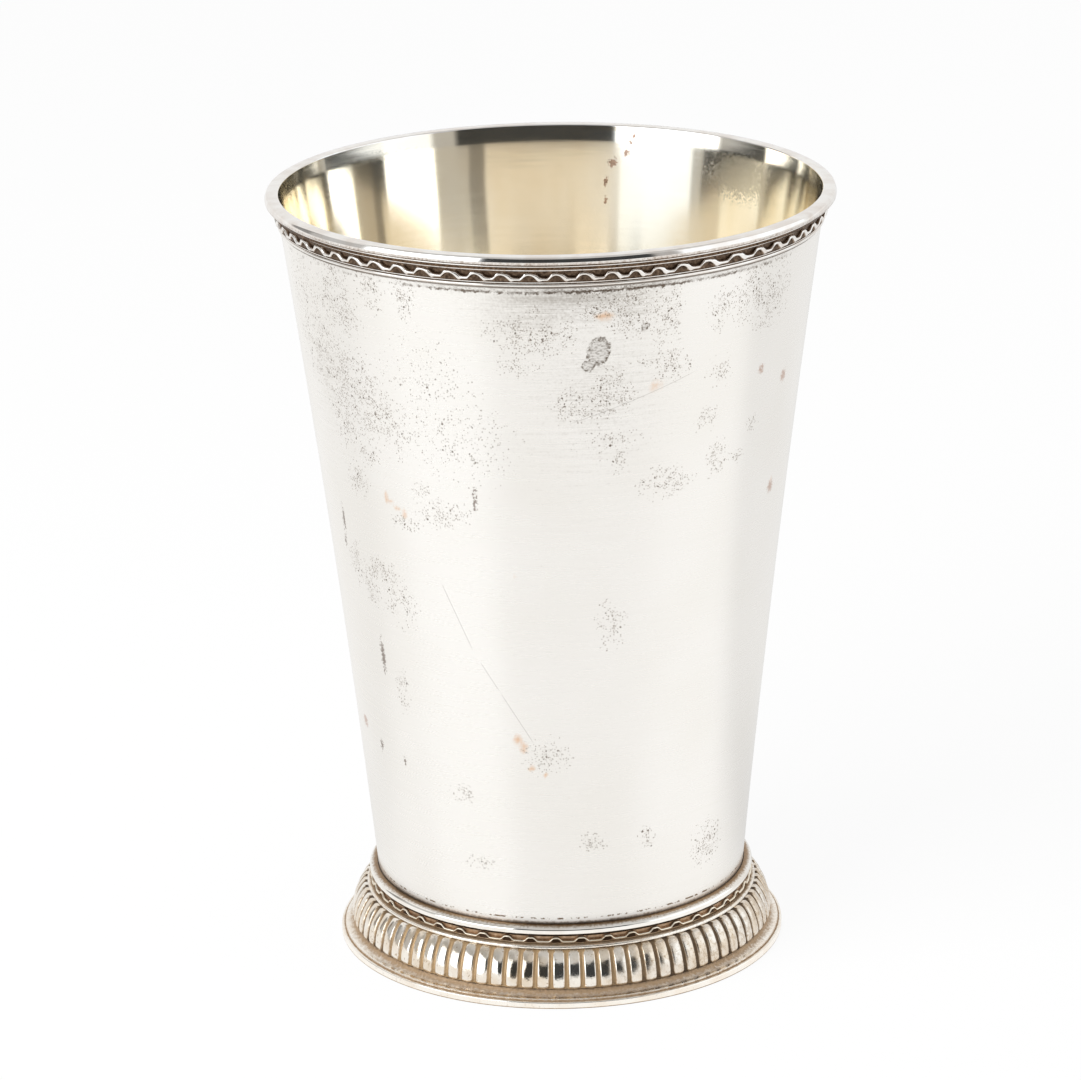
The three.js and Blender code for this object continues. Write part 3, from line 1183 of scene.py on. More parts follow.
@dataclass(frozen=True)
class Ripple:
    """A part of a piece's unevenness: its strength, waves round, start and climb per millimetre."""

    strength: float
    waves: int
    start: float = 0.0
    climb: float = 0.0

    def at(self, turn: float, level: float = 0.0) -> float:
        """Gives the unevenness at an azimuth in radians and a level in millimetres."""
        return self.strength * math.sin(self.waves * turn + self.start + self.climb * level)


@dataclass
class Cup:
    """The tapered wall, gilt inside, and the floor that closes it."""

    finishes: Finishes
    wall: Ring
    floor: Ring
    lip: Ring
    bead: Ring
    mouth_radius: float = 43.5 * MM
    bow: float = 0.73 * MM
    sheet: float = 0.85 * MM
    rebate: float = 0.45 * MM
    thinning: float = 0.32 * MM
    thinning_from: float = 0.25
    shoulder: float = 105.0 * MM
    shoulder_bend: float = 5.0 * MM
    straightening: float = 0.0087
    flare: float = 0.04
    flare_start: float = 122.5 * MM
    unevenness: float = 0.02 * MM
    ripples: tuple[Ripple, ...] = (
        Ripple(1.0, 3, start=0.6), Ripple(0.6, 7, climb=1.0 / 17.0), Ripple(0.4, 13, climb=-1.0 / 9.0))
    still: float = 4.0 * MM
    loose: float = 12.0 * MM
    columns: int = 448
    outside_rows: int = 112
    mouth_rows: int = 12
    mouth_row: float = 0.3 * MM
    inside_rows: int = 70
    fillet_rise: float = 0.9 * MM
    fillet_run: float = 1.3 * MM
    fillet_edge: float = 0.02 * MM
    fillet_points: int = 6
    floor_clear: float = 0.01 * MM
    floor_dish: tuple[float, float] = (0.1 * MM, 0.15 * MM)
    floor_pip: tuple[float, float] = (0.9 * MM, 0.15 * MM)

    @property
    def foot_radius(self) -> float:
        """The wall's outer radius at its lower edge."""
        return self.wall.bore + self.sheet

    def radius_at(self, level: float) -> float:
        """Gives the wall's outer radius at a level.

        Args:
            level: the height.

        Returns:
            The radius, on a slightly hollow taper.
        """
        share = (level - self.wall.low) / (self.lip.high - self.wall.low)
        straight = self.foot_radius + (self.mouth_radius - self.foot_radius) * share
        return straight - 4.0 * self.bow * share * (1.0 - share)

    def inside_at(self, level: float) -> float:
        """Gives the inner radius at a level.

        Args:
            level: the height.

        Returns:
            The radius: the sheet thins up to a shoulder, runs straighter above it and flares at the mouth.
        """
        above = max(0.0, level - self.shoulder)
        bent = min(above, self.shoulder_bend)
        straight = bent * bent / (2.0 * self.shoulder_bend) + above - bent
        thinned = self.thinning * ease(level, self.thinning_from * self.shoulder, self.shoulder)
        flared = self.flare * max(0.0, level - self.flare_start)
        return self.radius_at(level) - self.sheet + thinned - self.straightening * straight + flared

    def outline(self) -> Outline:
        """Draws the wall's half section.

        Returns:
            The outline, with side 1 on the gilt inside.
        """
        made = Outline()
        low, high, seat = self.wall.low, self.wall.high, self.bead.low
        for row in range(self.outside_rows + 1):
            level = low + (seat - low) * row / self.outside_rows
            made.to(self.radius_at(level), level)
        made.to(self.radius_at(seat) - self.rebate, seat)
        made.to(self.radius_at(high) - self.rebate, high)
        below = high - self.mouth_row * self.mouth_rows
        levels = [high - self.mouth_row * row for row in range(self.mouth_rows)]
        levels += [below - (below - low) * row / self.inside_rows for row in range(self.inside_rows + 1)]
        for level in levels:
            made.to(self.inside_at(level), level, side=1.0)
        return made

    def build_wall(self) -> bpy.types.Object:
        """Makes the wall with its marks.

        Returns:
            The wall.
        """
        bm = self.outline().turned(self.columns)
        for kind in Blemish:
            bm.verts.layers.float.new(kind.value)
        layers = {kind: layer(bm, kind) for kind in Blemish}
        side = layer(bm, Layer.SIDE)
        for vert in bm.verts:
            turn, level, radius = around(vert.co), vert.co.z / MM, vert.co.xy.length / MM
            for mark in INSIDE_MARKS if vert[side] > 0.5 else OUTSIDE_MARKS:
                strength = mark.at(turn, level, radius)
                if strength > 0.0:
                    vert[layers[mark.kind]] = max(vert[layers[mark.kind]], strength)
            self.hammer(vert)
        gild(bm)
        return placed(bm, "cup_wall", (self.finishes.wall, self.finishes.gilding))

    def hammer(self, vert: bmesh.types.BMVert) -> None:
        """Moves a point of the wall a little off the true circle, but not at the joints.

        Args:
            vert: the point to move.
        """
        turn, level = math.radians(around(vert.co)), vert.co.z / MM
        away = sum(ripple.at(turn, level) for ripple in self.ripples)
        fade = ease(vert.co.z, self.wall.low + self.still, self.wall.low + self.loose)
        fade *= 1.0 - ease(vert.co.z, self.bead.low - self.still, self.bead.low)
        vert.co.xy *= 1.0 + self.unevenness * away * fade / vert.co.xy.length

    def build_floor(self) -> bpy.types.Object:
        """Makes the floor disc with its solder fillet.

        Returns:
            The floor, gilt above and turned silver below.
        """
        top, low = self.floor.high, self.floor.low
        fillet = top + self.fillet_rise
        edge = self.inside_at(fillet) - self.floor_clear
        inner = edge - self.fillet_edge
        pip_radius, pip_depth = self.floor_pip
        half_dish, dish = self.floor_dish
        made = Outline().to(0.0, low + pip_depth).to(pip_radius, low).to(self.floor.outer, low)
        made.to(edge, fillet, side=1.0).to(inner, fillet, side=1.0)
        made.round(inner - self.fillet_run, top, Bend.UPRIGHT, self.fillet_points, side=1.0)
        made.to(edge / 2.0, top - half_dish, side=1.0).to(0.0, top - dish, side=1.0)
        bm = made.turned(self.columns)
        gild(bm)
        return placed(bm, "cup_floor", (self.finishes.underside, self.finishes.gilt_floor))


@dataclass
class WaveBorder:
    """A rolled strip with a raised wavy ribbon on a sunk ground between two raised edges.

    Places along a wave are shares of it, counted from a crest.
    """

    name: str
    room: Ring
    waves: int
    crest: float
    crest_share: float
    trough_share: float
    swing: float
    ribbon: float
    relief: float
    edge: float
    edge_relief: float
    lean: float = 0.0
    shoulder: float = 0.55
    spread: float = 0.3
    brow: float = 0.08
    edge_flat: float = 0.7
    bay_start: float = 1.5
    spur: float = 0.0
    spur_place: tuple[float, float] = (0.86, 0.05)
    spur_side: float = 0.4
    thick: float = 1.0
    thick_place: tuple[float, float] = (0.31, 0.12)
    steep: float = 0.0
    arched: float = 0.0
    bay_light: float = 0.0
    crest_light: float = 0.25
    pit: float = 0.12 * MM
    drift: float = 0.04
    ripples: tuple[Ripple, ...] = (Ripple(1.0, 5, 1.0), Ripple(0.7, 11, 2.0), Ripple(0.5, 23))
    slip: float = 0.0
    slip_place: tuple[float, float] = (27.0, 13.0)
    # The top edge's hollow: tarnish, and past 1 also a painted shadow of the moulding above.
    top_dirt_and_shadow: float = 0.45
    columns_per_wave: int = 20
    crease: float = 55.0

    def phase(self, turn: float) -> float:
        """Gives the share of a wave since the last crest, with the strip's unevenness.

        Args:
            turn: the azimuth.

        Returns:
            The share, from 0 to 1.
        """
        loose = self.drift * sum(ripple.at(math.radians(turn)) for ripple in self.ripples)
        slipped = self.slip * bump(turn, *self.slip_place)
        return ((turn - self.crest) * self.waves / FULL_TURN + loose + slipped) % 1.0

    def rise(self, phase: float) -> float:
        """Gives the ribbon's place across the strip.

        Args:
            phase: the share of a wave since the last crest.

        Returns:
            The place, from -1 in a trough to 1 on a crest.
        """
        away = min(phase, 1.0 - phase)
        steep = self.steep if phase > 0.5 else 0.0
        crest, trough = self.crest_share / 2.0, 0.5 - self.trough_share / 2.0 - steep
        flank = ease(away, crest, trough)
        arch = min(1.0, max(0.0, (away - crest) / (trough - crest))) ** 2
        return 1.0 - 2.0 * (flank + self.arched * (arch - flank))

    def outline(self) -> Outline:
        """Draws the strip's half section, with the ribbon at mid height.

        Returns:
            The outline: follow is 1 on the ribbon, and side is -1 below it and 1 above it.
        """
        half, wide = self.room.rise / 2.0, self.ribbon / 2.0
        crown = self.room.outer - self.lean * half
        ground, brow = crown - self.relief, crown - self.brow * self.relief
        ridge, flank = ground + self.edge_relief, ground + self.shoulder * self.relief
        foot, shoulder = wide + self.spread * self.ribbon, self.shoulder * wide
        flat, edge, bay = (half - share * self.edge for share in (self.edge_flat, 1.0, self.bay_start))
        steps = (
            (ridge, -half, 0.55, 0, 0),
            (ridge, -flat, 0.15, 0, 0),
            (ground, -edge, 1.0, 0, 0),
            (ground, -bay, 1.0, 0.15, -1),
            (ground, -foot, 1.0, 1, -1),
            (flank, -wide, 0.55, 1, 0),
            (brow, -shoulder, 0.05, 1, 0),
            (crown, 0.0, 0.0, 1, 0),
            (brow, shoulder, 0.0, 1, 0.3),
            (flank, wide, 0.5, 1, self.spur_side),
            (ground, foot, 1.0, 1, 1),
            (ground, bay, 1.0, 0.15, 1),
            (ground, edge, 1.0, 0, 0),
            (ridge, flat, self.top_dirt_and_shadow - 0.1, 0, 0),
            (ridge, half, self.top_dirt_and_shadow, 0, 0),
        )
        made = Outline().to(self.room.bore, self.room.low, hollow=1.0)
        for radius, up, hollow, follow, side in steps:
            made.to(radius + self.lean * up, self.room.middle + up, hollow, follow, side)
        return made.to(self.room.bore, self.room.high, hollow=1.0)

    def build(self, finish: bpy.types.Material) -> bpy.types.Object:
        """Makes the strip and bends its ribbon into waves.

        Args:
            finish: the strip's material.

        Returns:
            The strip.
        """
        bm = self.outline().turned(self.waves * self.columns_per_wave, self.waves)
        hollow, follow, side = (layer(bm, kind) for kind in Layer)
        for vert in bm.verts:
            phase = self.phase(around(vert.co))
            rise = self.rise(phase)
            shift = self.swing * rise * vert[follow]
            if vert[follow] > 0.5:
                fuller = (self.thick - 1.0) * bump(phase, *self.thick_place)
                shift += fuller * (vert.co.z - self.room.middle)
            on_ground = abs(vert[side]) == 1.0
            if vert[side] > 0.0 and not on_ground:
                shift += self.spur * bump(phase, *self.spur_place) * vert[side] / self.spur_side
            crest = rise * vert[side] if on_ground else 0.0
            bay = max(0.0, -crest)
            # Painted light and shade on the ground: lighter above the ribbon's troughs and where the ribbon
            # comes close, darker under its crests.
            vert[hollow] -= self.bay_light * bay * vert[side] + self.crest_light * max(0.0, crest)
            vert.co.xy *= 1.0 - self.pit * bay * vert[follow] / vert.co.xy.length
            vert.co.xy *= 1.0 + self.lean * shift / vert.co.xy.length
            vert.co.z += shift
        return placed(bm, self.name, (finish,), self.crease)


@dataclass
class Rim:
    """The lip, the wave border under it and the bead that closes it."""

    cup: Cup
    strip: Ring
    columns: int = 384
    mouth_drop: float = 0.25 * MM
    mouth_round: float = 0.35 * MM
    mouth_points: int = 5
    seat_gap: float = 0.08 * MM
    bead_depth: float = 0.3 * MM
    bead_points: int = 4
    lip_face: tuple[Step, ...] = (
        Step(-0.45, -0.02, 0.05), Step(-0.28, -0.1, 0.05), Step(-0.19, -0.2, 0.1),
        Step(-0.165, -0.27, 0.1), Step(-0.01, -0.71, 0.2), Step(0.0, -0.82, 0.42),
        Step(-0.03, -1.03, 0.45), Step(-0.3, -1.25, 0.7, Bend.UPRIGHT, 4))
    lip_ledge: tuple[Step, ...] = (
        Step(-0.9, -1.29, 1.0), Step(-0.9, -1.41, 1.0), Step(-0.74, -1.55, 0.1, Bend.LEVEL),
        Step(-0.9, -1.71, 0.5, Bend.UPRIGHT), Step(-1.02, -1.8, 1.0))

    def build_lip(self) -> bpy.types.Object:
        """Makes the lip with its ledge.

        Returns:
            The lip.
        """
        lip, cup = self.cup.lip, self.cup
        out, top, wall_top = lip.outer, lip.high, cup.wall.high
        inner, drop = cup.inside_at(wall_top), top - self.mouth_drop
        seat = cup.radius_at(wall_top) - cup.rebate + self.seat_gap
        made = Outline().to(inner, wall_top, side=1.0).to(cup.inside_at(drop), drop, side=1.0)
        made.round(inner + self.mouth_round, top, Bend.UPRIGHT, self.mouth_points)
        made.to((inner + out) / 2.0, top).through(out, top, self.lip_face + self.lip_ledge)
        for end in ((made.knots[-1].radius, lip.low), (seat, lip.low), (seat, wall_top)):
            made.to(*end, hollow=1.0)
        bm = made.turned(self.columns)
        gild(bm)
        return placed(bm, "rim_lip_wire", (cup.finishes.bright, cup.finishes.gilding))

    def build_strip(self) -> bpy.types.Object:
        """Makes the wave border.

        Returns:
            The border.
        """
        low, high = (self.cup.radius_at(level) for level in (self.strip.low, self.strip.high))
        border = WaveBorder(
            "rim_wave_strip", self.strip, waves=64, crest=1.0, crest_share=0.04, trough_share=0.24,
            swing=0.4 * MM, ribbon=0.44 * MM, relief=0.44 * MM, edge=0.2 * MM, edge_relief=0.14 * MM,
            lean=(high - low) / self.strip.rise, spur=0.22 * MM, thick=2.0, steep=0.09, arched=0.75,
            slip=0.48)
        return border.build(self.cup.finishes.border)

    def build_bead(self) -> bpy.types.Object:
        """Makes the half-round bead, with tarnish and painted shade on its underside.

        Returns:
            The bead.
        """
        bead = self.cup.bead
        root = bead.outer - self.bead_depth
        # The underside's hollow paints tarnish and shade under the bead.
        made = Outline().to(bead.bore, bead.low, hollow=1.0).to(root, bead.low, hollow=0.9)
        made.round(bead.outer, bead.middle, Bend.LEVEL, self.bead_points)
        made.round(root, bead.high, Bend.UPRIGHT, self.bead_points, hollow=0.1)
        made.to(bead.bore, bead.high, hollow=1.0)
        return placed(made.turned(self.columns), "rim_bead_wire", (self.cup.finishes.bright,))


@dataclass
class LobedRing:
    """The hollow ring of pressed lobes.

    The numbers named for a lobe's ends are shares of its height, those for a groove shares of a lobe.
    """

    room: Ring
    lobes: int = 85
    groove_azimuth: float = 0.91
    swell: float = 5.0 * MM
    turn: float = 0.95
    groove_depth: float = 0.32 * MM
    groove_floor: float = 0.1
    groove_edge: float = 0.16
    dirt_spread: float = 0.06
    crown: float = 0.2 * MM
    lopsided: float = 0.25
    dents: float = 0.03 * MM
    dent_waves: tuple[float, float, float] = (7.0, 3.0, 4.0)
    chance: tuple[float, float] = (12.9, 7.3)
    tuck: float = 0.25 * MM
    tuck_height: float = 0.07
    tip: float = 0.13
    tip_widening: float = 0.22
    tip_power: float = 3.0
    top: float = 0.93
    top_widening: float = 0.08
    groove_dirt: float = 0.85
    end_dirt: float = 0.25
    ends: Band = (0.3, 0.5)
    # The lobes' feet, where they tuck under, are painted dark: tarnish and painted shade.
    tuck_dirt_and_shade: float = 0.75
    rows: int = 22
    row_spread: float = 1.6
    inside_rows: int = 6
    columns: int = 18
    shell: float = 1.3 * MM
    flange: float = 0.9 * MM
    crease: float = 60.0

    def outline(self) -> Outline:
        """Draws the ring's half section.

        Returns:
            The outline: follow is 1 on the lobed face, and side is the share of its height there.
        """
        room = self.room
        centre = room.outer - self.swell
        tall = room.rise / math.sin(self.turn)
        made = Outline()
        for row in range(self.rows + 1):
            share = (row / self.rows) ** self.row_spread
            turn = self.turn * share
            made.to(centre + self.swell * math.cos(turn), room.low + tall * math.sin(turn),
                    follow=1.0, side=share)
        made.to(room.bore, room.high, hollow=0.6).to(room.bore, room.high - self.flange, hollow=0.6)
        inner = math.asin((room.rise - self.flange) / (tall - self.shell))
        for row in range(self.inside_rows + 1):
            turn = inner * (1.0 - row / self.inside_rows)
            made.to(centre + (self.swell - self.shell) * math.cos(turn),
                    room.low + (tall - self.shell) * math.sin(turn), hollow=0.5)
        return made

    def build(self, finish: bpy.types.Material) -> bpy.types.Object:
        """Makes the ring and presses the grooves between its lobes.

        Args:
            finish: the ring's material.

        Returns:
            The ring.
        """
        bm = self.outline().turned(self.lobes * self.columns, self.lobes)
        hollow, follow, side = (layer(bm, kind) for kind in Layer)
        for vert in bm.verts:
            if vert[follow] > 0.5:
                vert[hollow] = self.press(vert, vert[side])
        return placed(bm, "foot_gadroon_ring", (finish,), self.crease)

    def press(self, vert: bmesh.types.BMVert, height: float) -> float:
        """Presses a point of the lobed face to its place.

        Args:
            vert: the point to move.
            height: its share of the face's height.

        Returns:
            How much dirt lies there, with painted shade where the lobes tuck under.
        """
        turned = (around(vert.co) - self.groove_azimuth) * self.lobes / FULL_TURN
        number, share = math.floor(turned) % self.lobes, turned % 1.0
        lean, wave = (math.sin(number * chance) for chance in self.chance)
        away = min(share, 1.0 - share)
        tip = max(0.0, 1.0 - height / self.tip)
        widen = self.tip_widening * (1.0 - (1.0 - tip ** self.tip_power) ** (1.0 / self.tip_power))
        widen += self.top_widening * max(0.0, height - self.top) / (1.0 - self.top)
        floor, edge = self.groove_floor + widen, self.groove_edge + widen
        groove = 1.0 - ease(away, floor, edge)
        under = 1.0 - ease(height, 0.0, self.tuck_height)
        dome = (1.0 - 2.0 * away) ** 2 + self.lopsided * lean * (share - 0.5) * (1.0 - groove)
        place = sum(a * b for a, b in zip(self.dent_waves, (height, wave, share * lean)))
        dent = self.dents * math.sin(place)
        sunk = self.groove_depth * groove + self.crown * dome + (dent + self.tuck * under) * (1.0 - groove)
        vert.co.xy *= 1.0 - sunk / vert.co.xy.length
        dirt = self.groove_dirt + self.end_dirt * ease(abs(height - 0.5), *self.ends)
        # Where the lobes tuck under, the value also paints shade.
        return max(dirt * (1.0 - ease(away, floor, edge + self.dirt_spread)), self.tuck_dirt_and_shade * under)


@dataclass
class Foot:
    """The stacked foot: collar, wave border, fillet, ring of lobes and base."""

    finishes: Finishes
    collar: Ring
    strip: Ring
    fillet: Ring
    lobed: Ring
    base: Ring
    columns: int = 320
    base_tuck: float = 0.45 * MM
    base_points: int = 6
    # The skirt's hollow past 1 paints a dark shadow line under the collar.
    collar_skirt: tuple[Step, ...] = (
        Step(-0.5, 0.0, 1.3), Step(-0.3, 0.1, 1.3), Step(-0.1, 0.26, 0.1, Bend.LEVEL, 4), Step(0.0, 0.74))
    collar_crown: tuple[Step, ...] = (Step(0.2, -0.03, 0.85, Bend.UPRIGHT, 10), Step(0.0, 0.0, 0.9))
    fillet_skirt: tuple[Step, ...] = (Step(-0.12, 0.0, 0.5), Step(0.0, 0.15, 0.4, Bend.LEVEL))
    fillet_crown: tuple[Step, ...] = (
        Step(-0.05, -0.15, 0.35), Step(-0.35, 0.0, 0.5, Bend.UPRIGHT), Step(-0.6, 0.0, 0.7))
    # The lowest steps paint a dark contact shadow along the floor; the top of the moulding under the lobes is
    # dark with tarnish and painted shade.
    base_face: tuple[Step, ...] = (
        Step(-0.15, 0.0, 1.1), Step(0.0, 0.15, 0.8, Bend.LEVEL), Step(0.0, 0.24, 0.1), Step(0.0, 0.6),
        Step(-0.03, 0.92), Step(-0.2, 1.1, 0.2, Bend.UPRIGHT, 4), Step(-0.6, 1.12, 0.9),
        Step(-0.6, 1.2, 0.7), Step(-0.8, 1.44, 0.3, Bend.UPRIGHT, 4))

    def turned(self, outline: Outline, name: str, finish: bpy.types.Material) -> bpy.types.Object:
        """Turns a plain ring of the foot."""
        return placed(outline.turned(self.columns), name, (finish,))

    def build_collar(self) -> bpy.types.Object:
        """Makes the half-round collar, undercut at its foot, with a painted shadow on its underside.

        Returns:
            The collar.
        """
        ring = self.collar
        # The underside's hollow past 1 paints the collar's shadow.
        made = Outline().to(ring.bore, ring.low, hollow=1.2).through(ring.outer, ring.low, self.collar_skirt)
        made.through(ring.bore, ring.high, self.collar_crown)
        return self.turned(made, "foot_collar_wire", self.finishes.collar)

    def build_strip(self) -> bpy.types.Object:
        """Makes the foot's wave border.

        Returns:
            The border.
        """
        border = WaveBorder(
            "foot_wave_strip", self.strip, waves=48, crest=5.78, crest_share=0.16, trough_share=0.4,
            swing=0.3 * MM, ribbon=0.32 * MM, relief=0.4 * MM, edge=0.1 * MM, edge_relief=0.05 * MM,
            # The strip's top edge is painted dark as the collar's shadow, and bay_light paints light and
            # shade on its ground.
            bay_light=0.3, drift=0.03, top_dirt_and_shadow=1.2, columns_per_wave=24)
        return border.build(self.finishes.foot_border)

    def build_fillet(self) -> bpy.types.Object:
        """Makes the thin wire above the lobes.

        Returns:
            The wire.
        """
        ring = self.fillet
        made = Outline().to(ring.bore, ring.low, hollow=0.8).through(ring.outer, ring.low, self.fillet_skirt)
        made.through(ring.outer, ring.high, self.fillet_crown).to(ring.bore, ring.high, hollow=1.0)
        return self.turned(made, "foot_fillet_wire", self.finishes.base)

    def build_lobes(self) -> bpy.types.Object:
        """Makes the ring of lobes."""
        return LobedRing(self.lobed).build(self.finishes.lobes)

    def build_base(self) -> bpy.types.Object:
        """Makes the base: upright band, fillet and hollow moulding, with a painted contact shadow at the
        floor and painted shade under the lobes.

        Returns:
            The base.
        """
        ring = self.base
        made = Outline().to(ring.bore, ring.low, hollow=0.5).through(ring.outer, ring.low, self.base_face)
        # The moulding's top under the lobes is darkened: tarnish and painted shade.
        made.round(self.lobed.outer - self.base_tuck, ring.high, Bend.LEVEL, self.base_points, hollow=0.95)
        made.to(ring.bore, ring.high, hollow=0.8)
        return self.turned(made, "foot_base_ring", self.finishes.base)


@dataclass(frozen=True)
class Softbox:
    """A soft lamp that faces the beaker, and how bright it looks, where 1 is white."""

    name: str
    azimuth: float
    elevation: float
    width: float
    height: float
    radiance: float
    distance: float = 0.8


@dataclass
class Studio:
    """The camera, the pale floor, the white surroundings and two soft lamps.

    The walls are rows of azimuth and radiance, where 1 is white, and only the metal shows them.
    """

    pitch: float = 17.973
    roll: float = -0.947
    distance: float = 772.3 * MM
    target: Vector = field(default_factory=lambda: Vector((-2.48, 0.0, 66.375)) * MM)
    lens: float = 159.44
    clip: tuple[float, float] = (0.05, 50.0)
    mirrorings: int = 10
    floor_reach: float = 3.0
    floor_white: float = 0.9
    floor_shown: float = 0.96
    floor_dim: float = 0.74
    dim_behind: Band = (-15.0, 40.0)
    dim_right: Band = (-20.0, 40.0)
    dim_left_share: float = 0.45
    dim_far: Band = (60.0, 140.0)
    dim_far_loss: float = 0.45
    paper: tuple[Colour, Colour] = (grey(0.9), grey(0.94))
    paper_grain: Grain = Grain(0.4, 3.0)
    paper_rough: float = 0.5
    sky_strength: float = 2.0
    day: float = 0.62
    ceiling: float = 0.6
    cool: float = 0.05
    cool_below: float = 0.1
    horizon: Band = (-0.01, 0.02)
    walls_to: Band = (0.46, 0.54)
    ceiling_from: Band = (0.68, 0.85)
    low_walls: tuple[tuple[float, float], ...] = (
        (-180, 0.9), (-125, 0.9), (-123, 0.3), (-111, 0.3), (-109, 0.55), (-79, 0.55), (-77, 2.5),
        (-30, 2.5), (-28, 0.05), (40, 0.05), (42, 0.5), (51, 0.5), (53, 1.25), (118, 1.25), (120, 0.85),
        (180, 0.9))
    high_walls: tuple[tuple[float, float], ...] = (
        (-180, 0.95), (-100, 0.9), (-85, 0.5), (-30, 0.45), (-15, 0.65), (60, 0.7), (75, 1.0), (100, 1.0),
        (112, 0.85), (180, 0.95))
    lamps: tuple[Softbox, ...] = (
        Softbox("left_softbox", -50.0, 24.0, 0.7, 0.7, 4.0),
        Softbox("right_softbox", 96.0, 18.0, 1.3, 0.34, 1.2))

    def build(self) -> None:
        """Sets up everything round the beaker."""
        bpy.context.scene.view_settings.view_transform = "Standard"
        bpy.context.scene.cycles.glossy_bounces = self.mirrorings
        self.camera()
        self.floor()
        self.surroundings()
        for box in self.lamps:
            self.lamp(box)

    def camera(self) -> None:
        """Places the camera where the photograph was taken from."""
        tilt, turn = math.radians(self.pitch), math.radians(self.roll)
        ahead = Vector((0.0, math.cos(tilt), -math.sin(tilt)))
        level, up = Vector((1.0, 0.0, 0.0)), Vector((0.0, math.sin(tilt), math.cos(tilt)))
        right = level * math.cos(turn) + up * math.sin(turn)
        above = up * math.cos(turn) - level * math.sin(turn)
        turned = Matrix((right, above, -ahead)).transposed().to_4x4()
        data = bpy.data.cameras.new("camera")
        data.lens, (data.clip_start, data.clip_end) = self.lens, self.clip
        made = linked("camera", data)
        made.matrix_world = Matrix.Translation(self.target - ahead * self.distance) @ turned
        bpy.context.scene.camera = made

    def floor(self) -> None:
        """Lays the floor, white to the eye and to the metal, with the beaker's shadow on it."""
        bm = bmesh.new()
        bmesh.ops.create_grid(bm, x_segments=1, y_segments=1, size=self.floor_reach)
        mesh = bpy.data.meshes.new("floor")
        bm.to_mesh(mesh)
        bm.free()
        material = bpy.data.materials.new("white_paper")
        material.use_nodes = True
        graph = Graph(material.node_tree)
        point = graph.place()
        tone = graph.coated(self.paper[0], (self.paper_grain.drawn(point), self.paper[1]))
        paper = graph.add("ShaderNodeBsdfDiffuse", {}, {"Color": tone, "Roughness": self.paper_rough})
        seen, mirrored = graph.rays()
        dim = self.dimmed(point) * mirrored
        white = graph.coated(grey(1.0), (dim, grey(self.floor_dim)))
        glow = graph.add("ShaderNodeEmission", {}, {"Color": white, "Strength": 1.0})
        shown = (seen * self.floor_white).either(mirrored * self.floor_shown)
        mixed = graph.add("ShaderNodeMixShader", {}, {0: shown, 1: paper, 2: glow})
        graph.add("ShaderNodeOutputMaterial", {}, {"Surface": mixed})
        mesh.materials.append(material)
        made = linked("floor", mesh)

    def dimmed(self, point: Signal) -> Signal:
        """Tells where the floor is shaded for the metal: behind the beaker, and most to the right.

        Args:
            point: the point on the floor, in millimetres.

        Returns:
            1 where it is shaded most and 0 where it is white.
        """
        across, back, _ = point.axes()
        right = self.dim_left_share + across.between(*self.dim_right) * (1.0 - self.dim_left_share)
        far = point.length().between(*self.dim_far)
        return back.between(*self.dim_behind) * right * (1.0 - far * self.dim_far_loss)

    def surroundings(self) -> None:
        """Makes the white world, with the dark and grey walls of the room for the metal to show."""
        world = bpy.data.worlds.new("studio")
        world.use_nodes = True
        bpy.context.scene.world = world
        graph = Graph(world.node_tree)
        ahead = graph.add("ShaderNodeTexCoord")
        turn = ahead.azimuth() * (1.0 / math.tau) + 0.5
        low, high = (self.panorama(turn, walls) for walls in (self.low_walls, self.high_walls))
        _, _, tilt = ahead.axes()
        upper = graph.coated(high, (tilt.between(*self.ceiling_from), self.lit(self.ceiling)))
        room = graph.coated(low, (tilt.between(*self.walls_to), upper))
        shown = graph.coated(self.lit(1.0), (tilt.between(*self.horizon), room))
        seen, mirrored = graph.rays()
        sky = graph.coated(self.lit(self.day), (mirrored, shown), (seen, self.lit(1.0)))
        light = graph.add("ShaderNodeBackground", {}, {"Color": sky, "Strength": self.sky_strength})
        graph.add("ShaderNodeOutputWorld", {}, {"Surface": light})

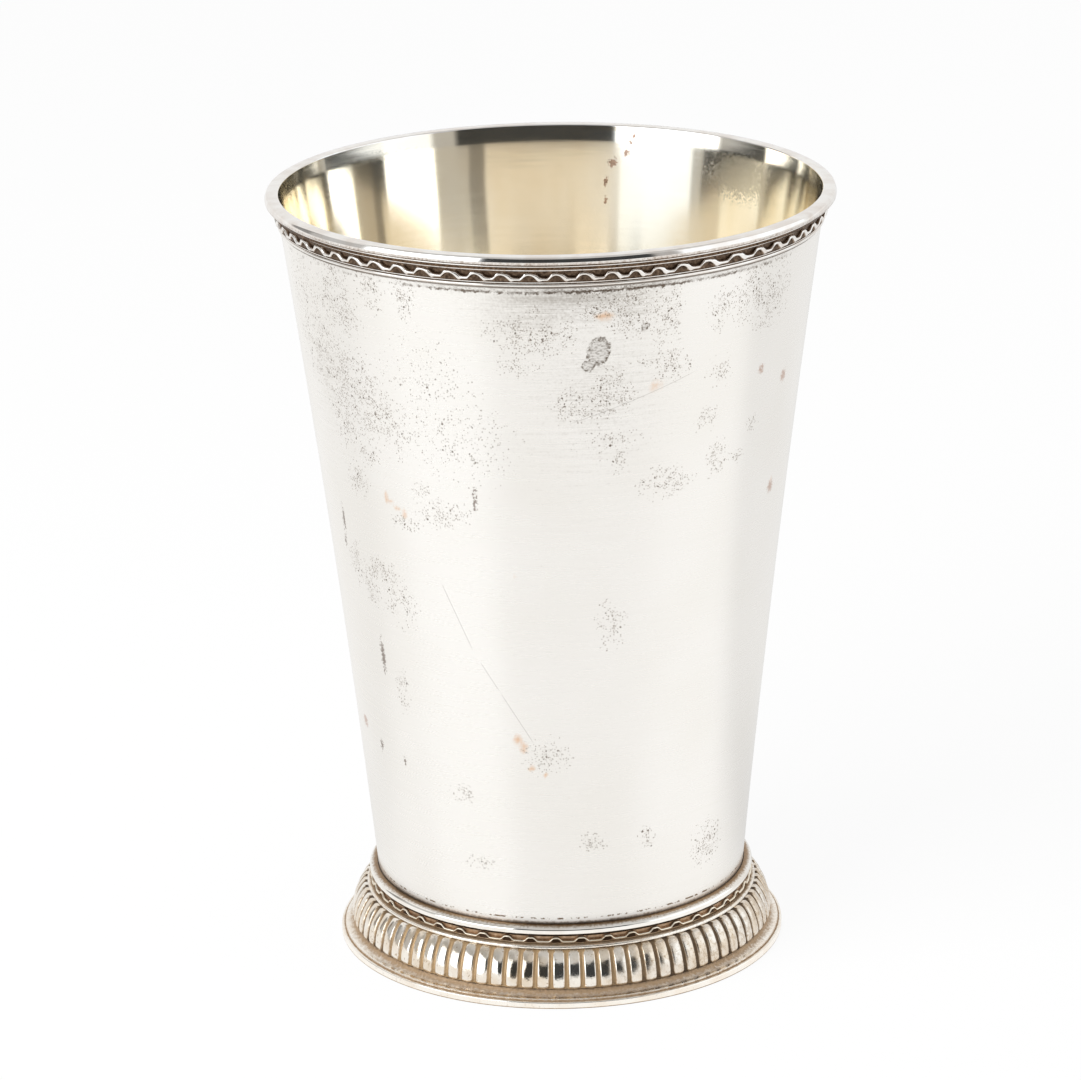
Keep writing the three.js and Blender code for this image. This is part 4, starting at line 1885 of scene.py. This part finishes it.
    def lit(self, level: float) -> Colour:
        """Gives the world's colour for a radiance.

        Args:
            level: the radiance, where 1 is white.

        Returns:
            The colour, cool for softboxes and dark walls.
        """
        share = level / self.sky_strength
        cool = 0.0 if self.cool_below <= level <= 1.0 else self.cool
        return share * (1.0 - cool), share, share * (1.0 + cool), 1.0

    def panorama(self, turn: Signal, walls: Sequence[tuple[float, float]]) -> Signal:
        """Paints a ring of the surroundings from the radiance at rising azimuths."""
        stops = [(azimuth / FULL_TURN + 0.5, self.lit(level)) for azimuth, level in walls]
        return turn.graph.add("ShaderNodeValToRGB", {"stops": stops}, {0: turn})

    def lamp(self, box: Softbox) -> None:
        """Hangs a softbox.

        Args:
            box: the lamp to hang.
        """
        data = bpy.data.lights.new(box.name, "AREA")
        data.shape, data.size, data.size_y = "RECTANGLE", box.width, box.height
        data.energy = box.radiance * math.pi * box.width * box.height
        side, lift = math.radians(box.azimuth), math.radians(box.elevation)
        back = Vector((math.sin(side) * math.cos(lift), -math.cos(side) * math.cos(lift), math.sin(lift)))
        turned = (-back).to_track_quat("-Z", "Y").to_matrix().to_4x4()
        made = linked(box.name, data)
        made.matrix_world = Matrix.Translation(self.target + back * box.distance) @ turned
        made.visible_glossy = False


def main() -> None:
    """Builds the studio and the beaker, piece by piece."""
    logging.basicConfig(level=logging.INFO, format="%(name)s: %(message)s")
    Studio().build()
    rings = {name: Ring.of(name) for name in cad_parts}
    finishes = Finishes.mixed(rings["foot_collar_wire"].high, rings["rim_bead_wire"].low)
    cup = Cup(finishes, *(rings[name] for name in ("cup_wall", "cup_floor", "rim_lip_wire", "rim_bead_wire")))
    rim = Rim(cup, rings["rim_wave_strip"])
    foot = Foot(finishes, *(rings[f"foot_{name}"] for name in (
        "collar_wire", "wave_strip", "fillet_wire", "gadroon_ring", "base_ring")))
    for build in (
            cup.build_wall, cup.build_floor, rim.build_lip, rim.build_strip, rim.build_bead,
            foot.build_collar, foot.build_strip, foot.build_fillet, foot.build_lobes, foot.build_base):
        piece = build()
        LOG.info("%s: %d faces", piece.name, len(piece.data.polygons))


if __name__ == "__main__":
    main()
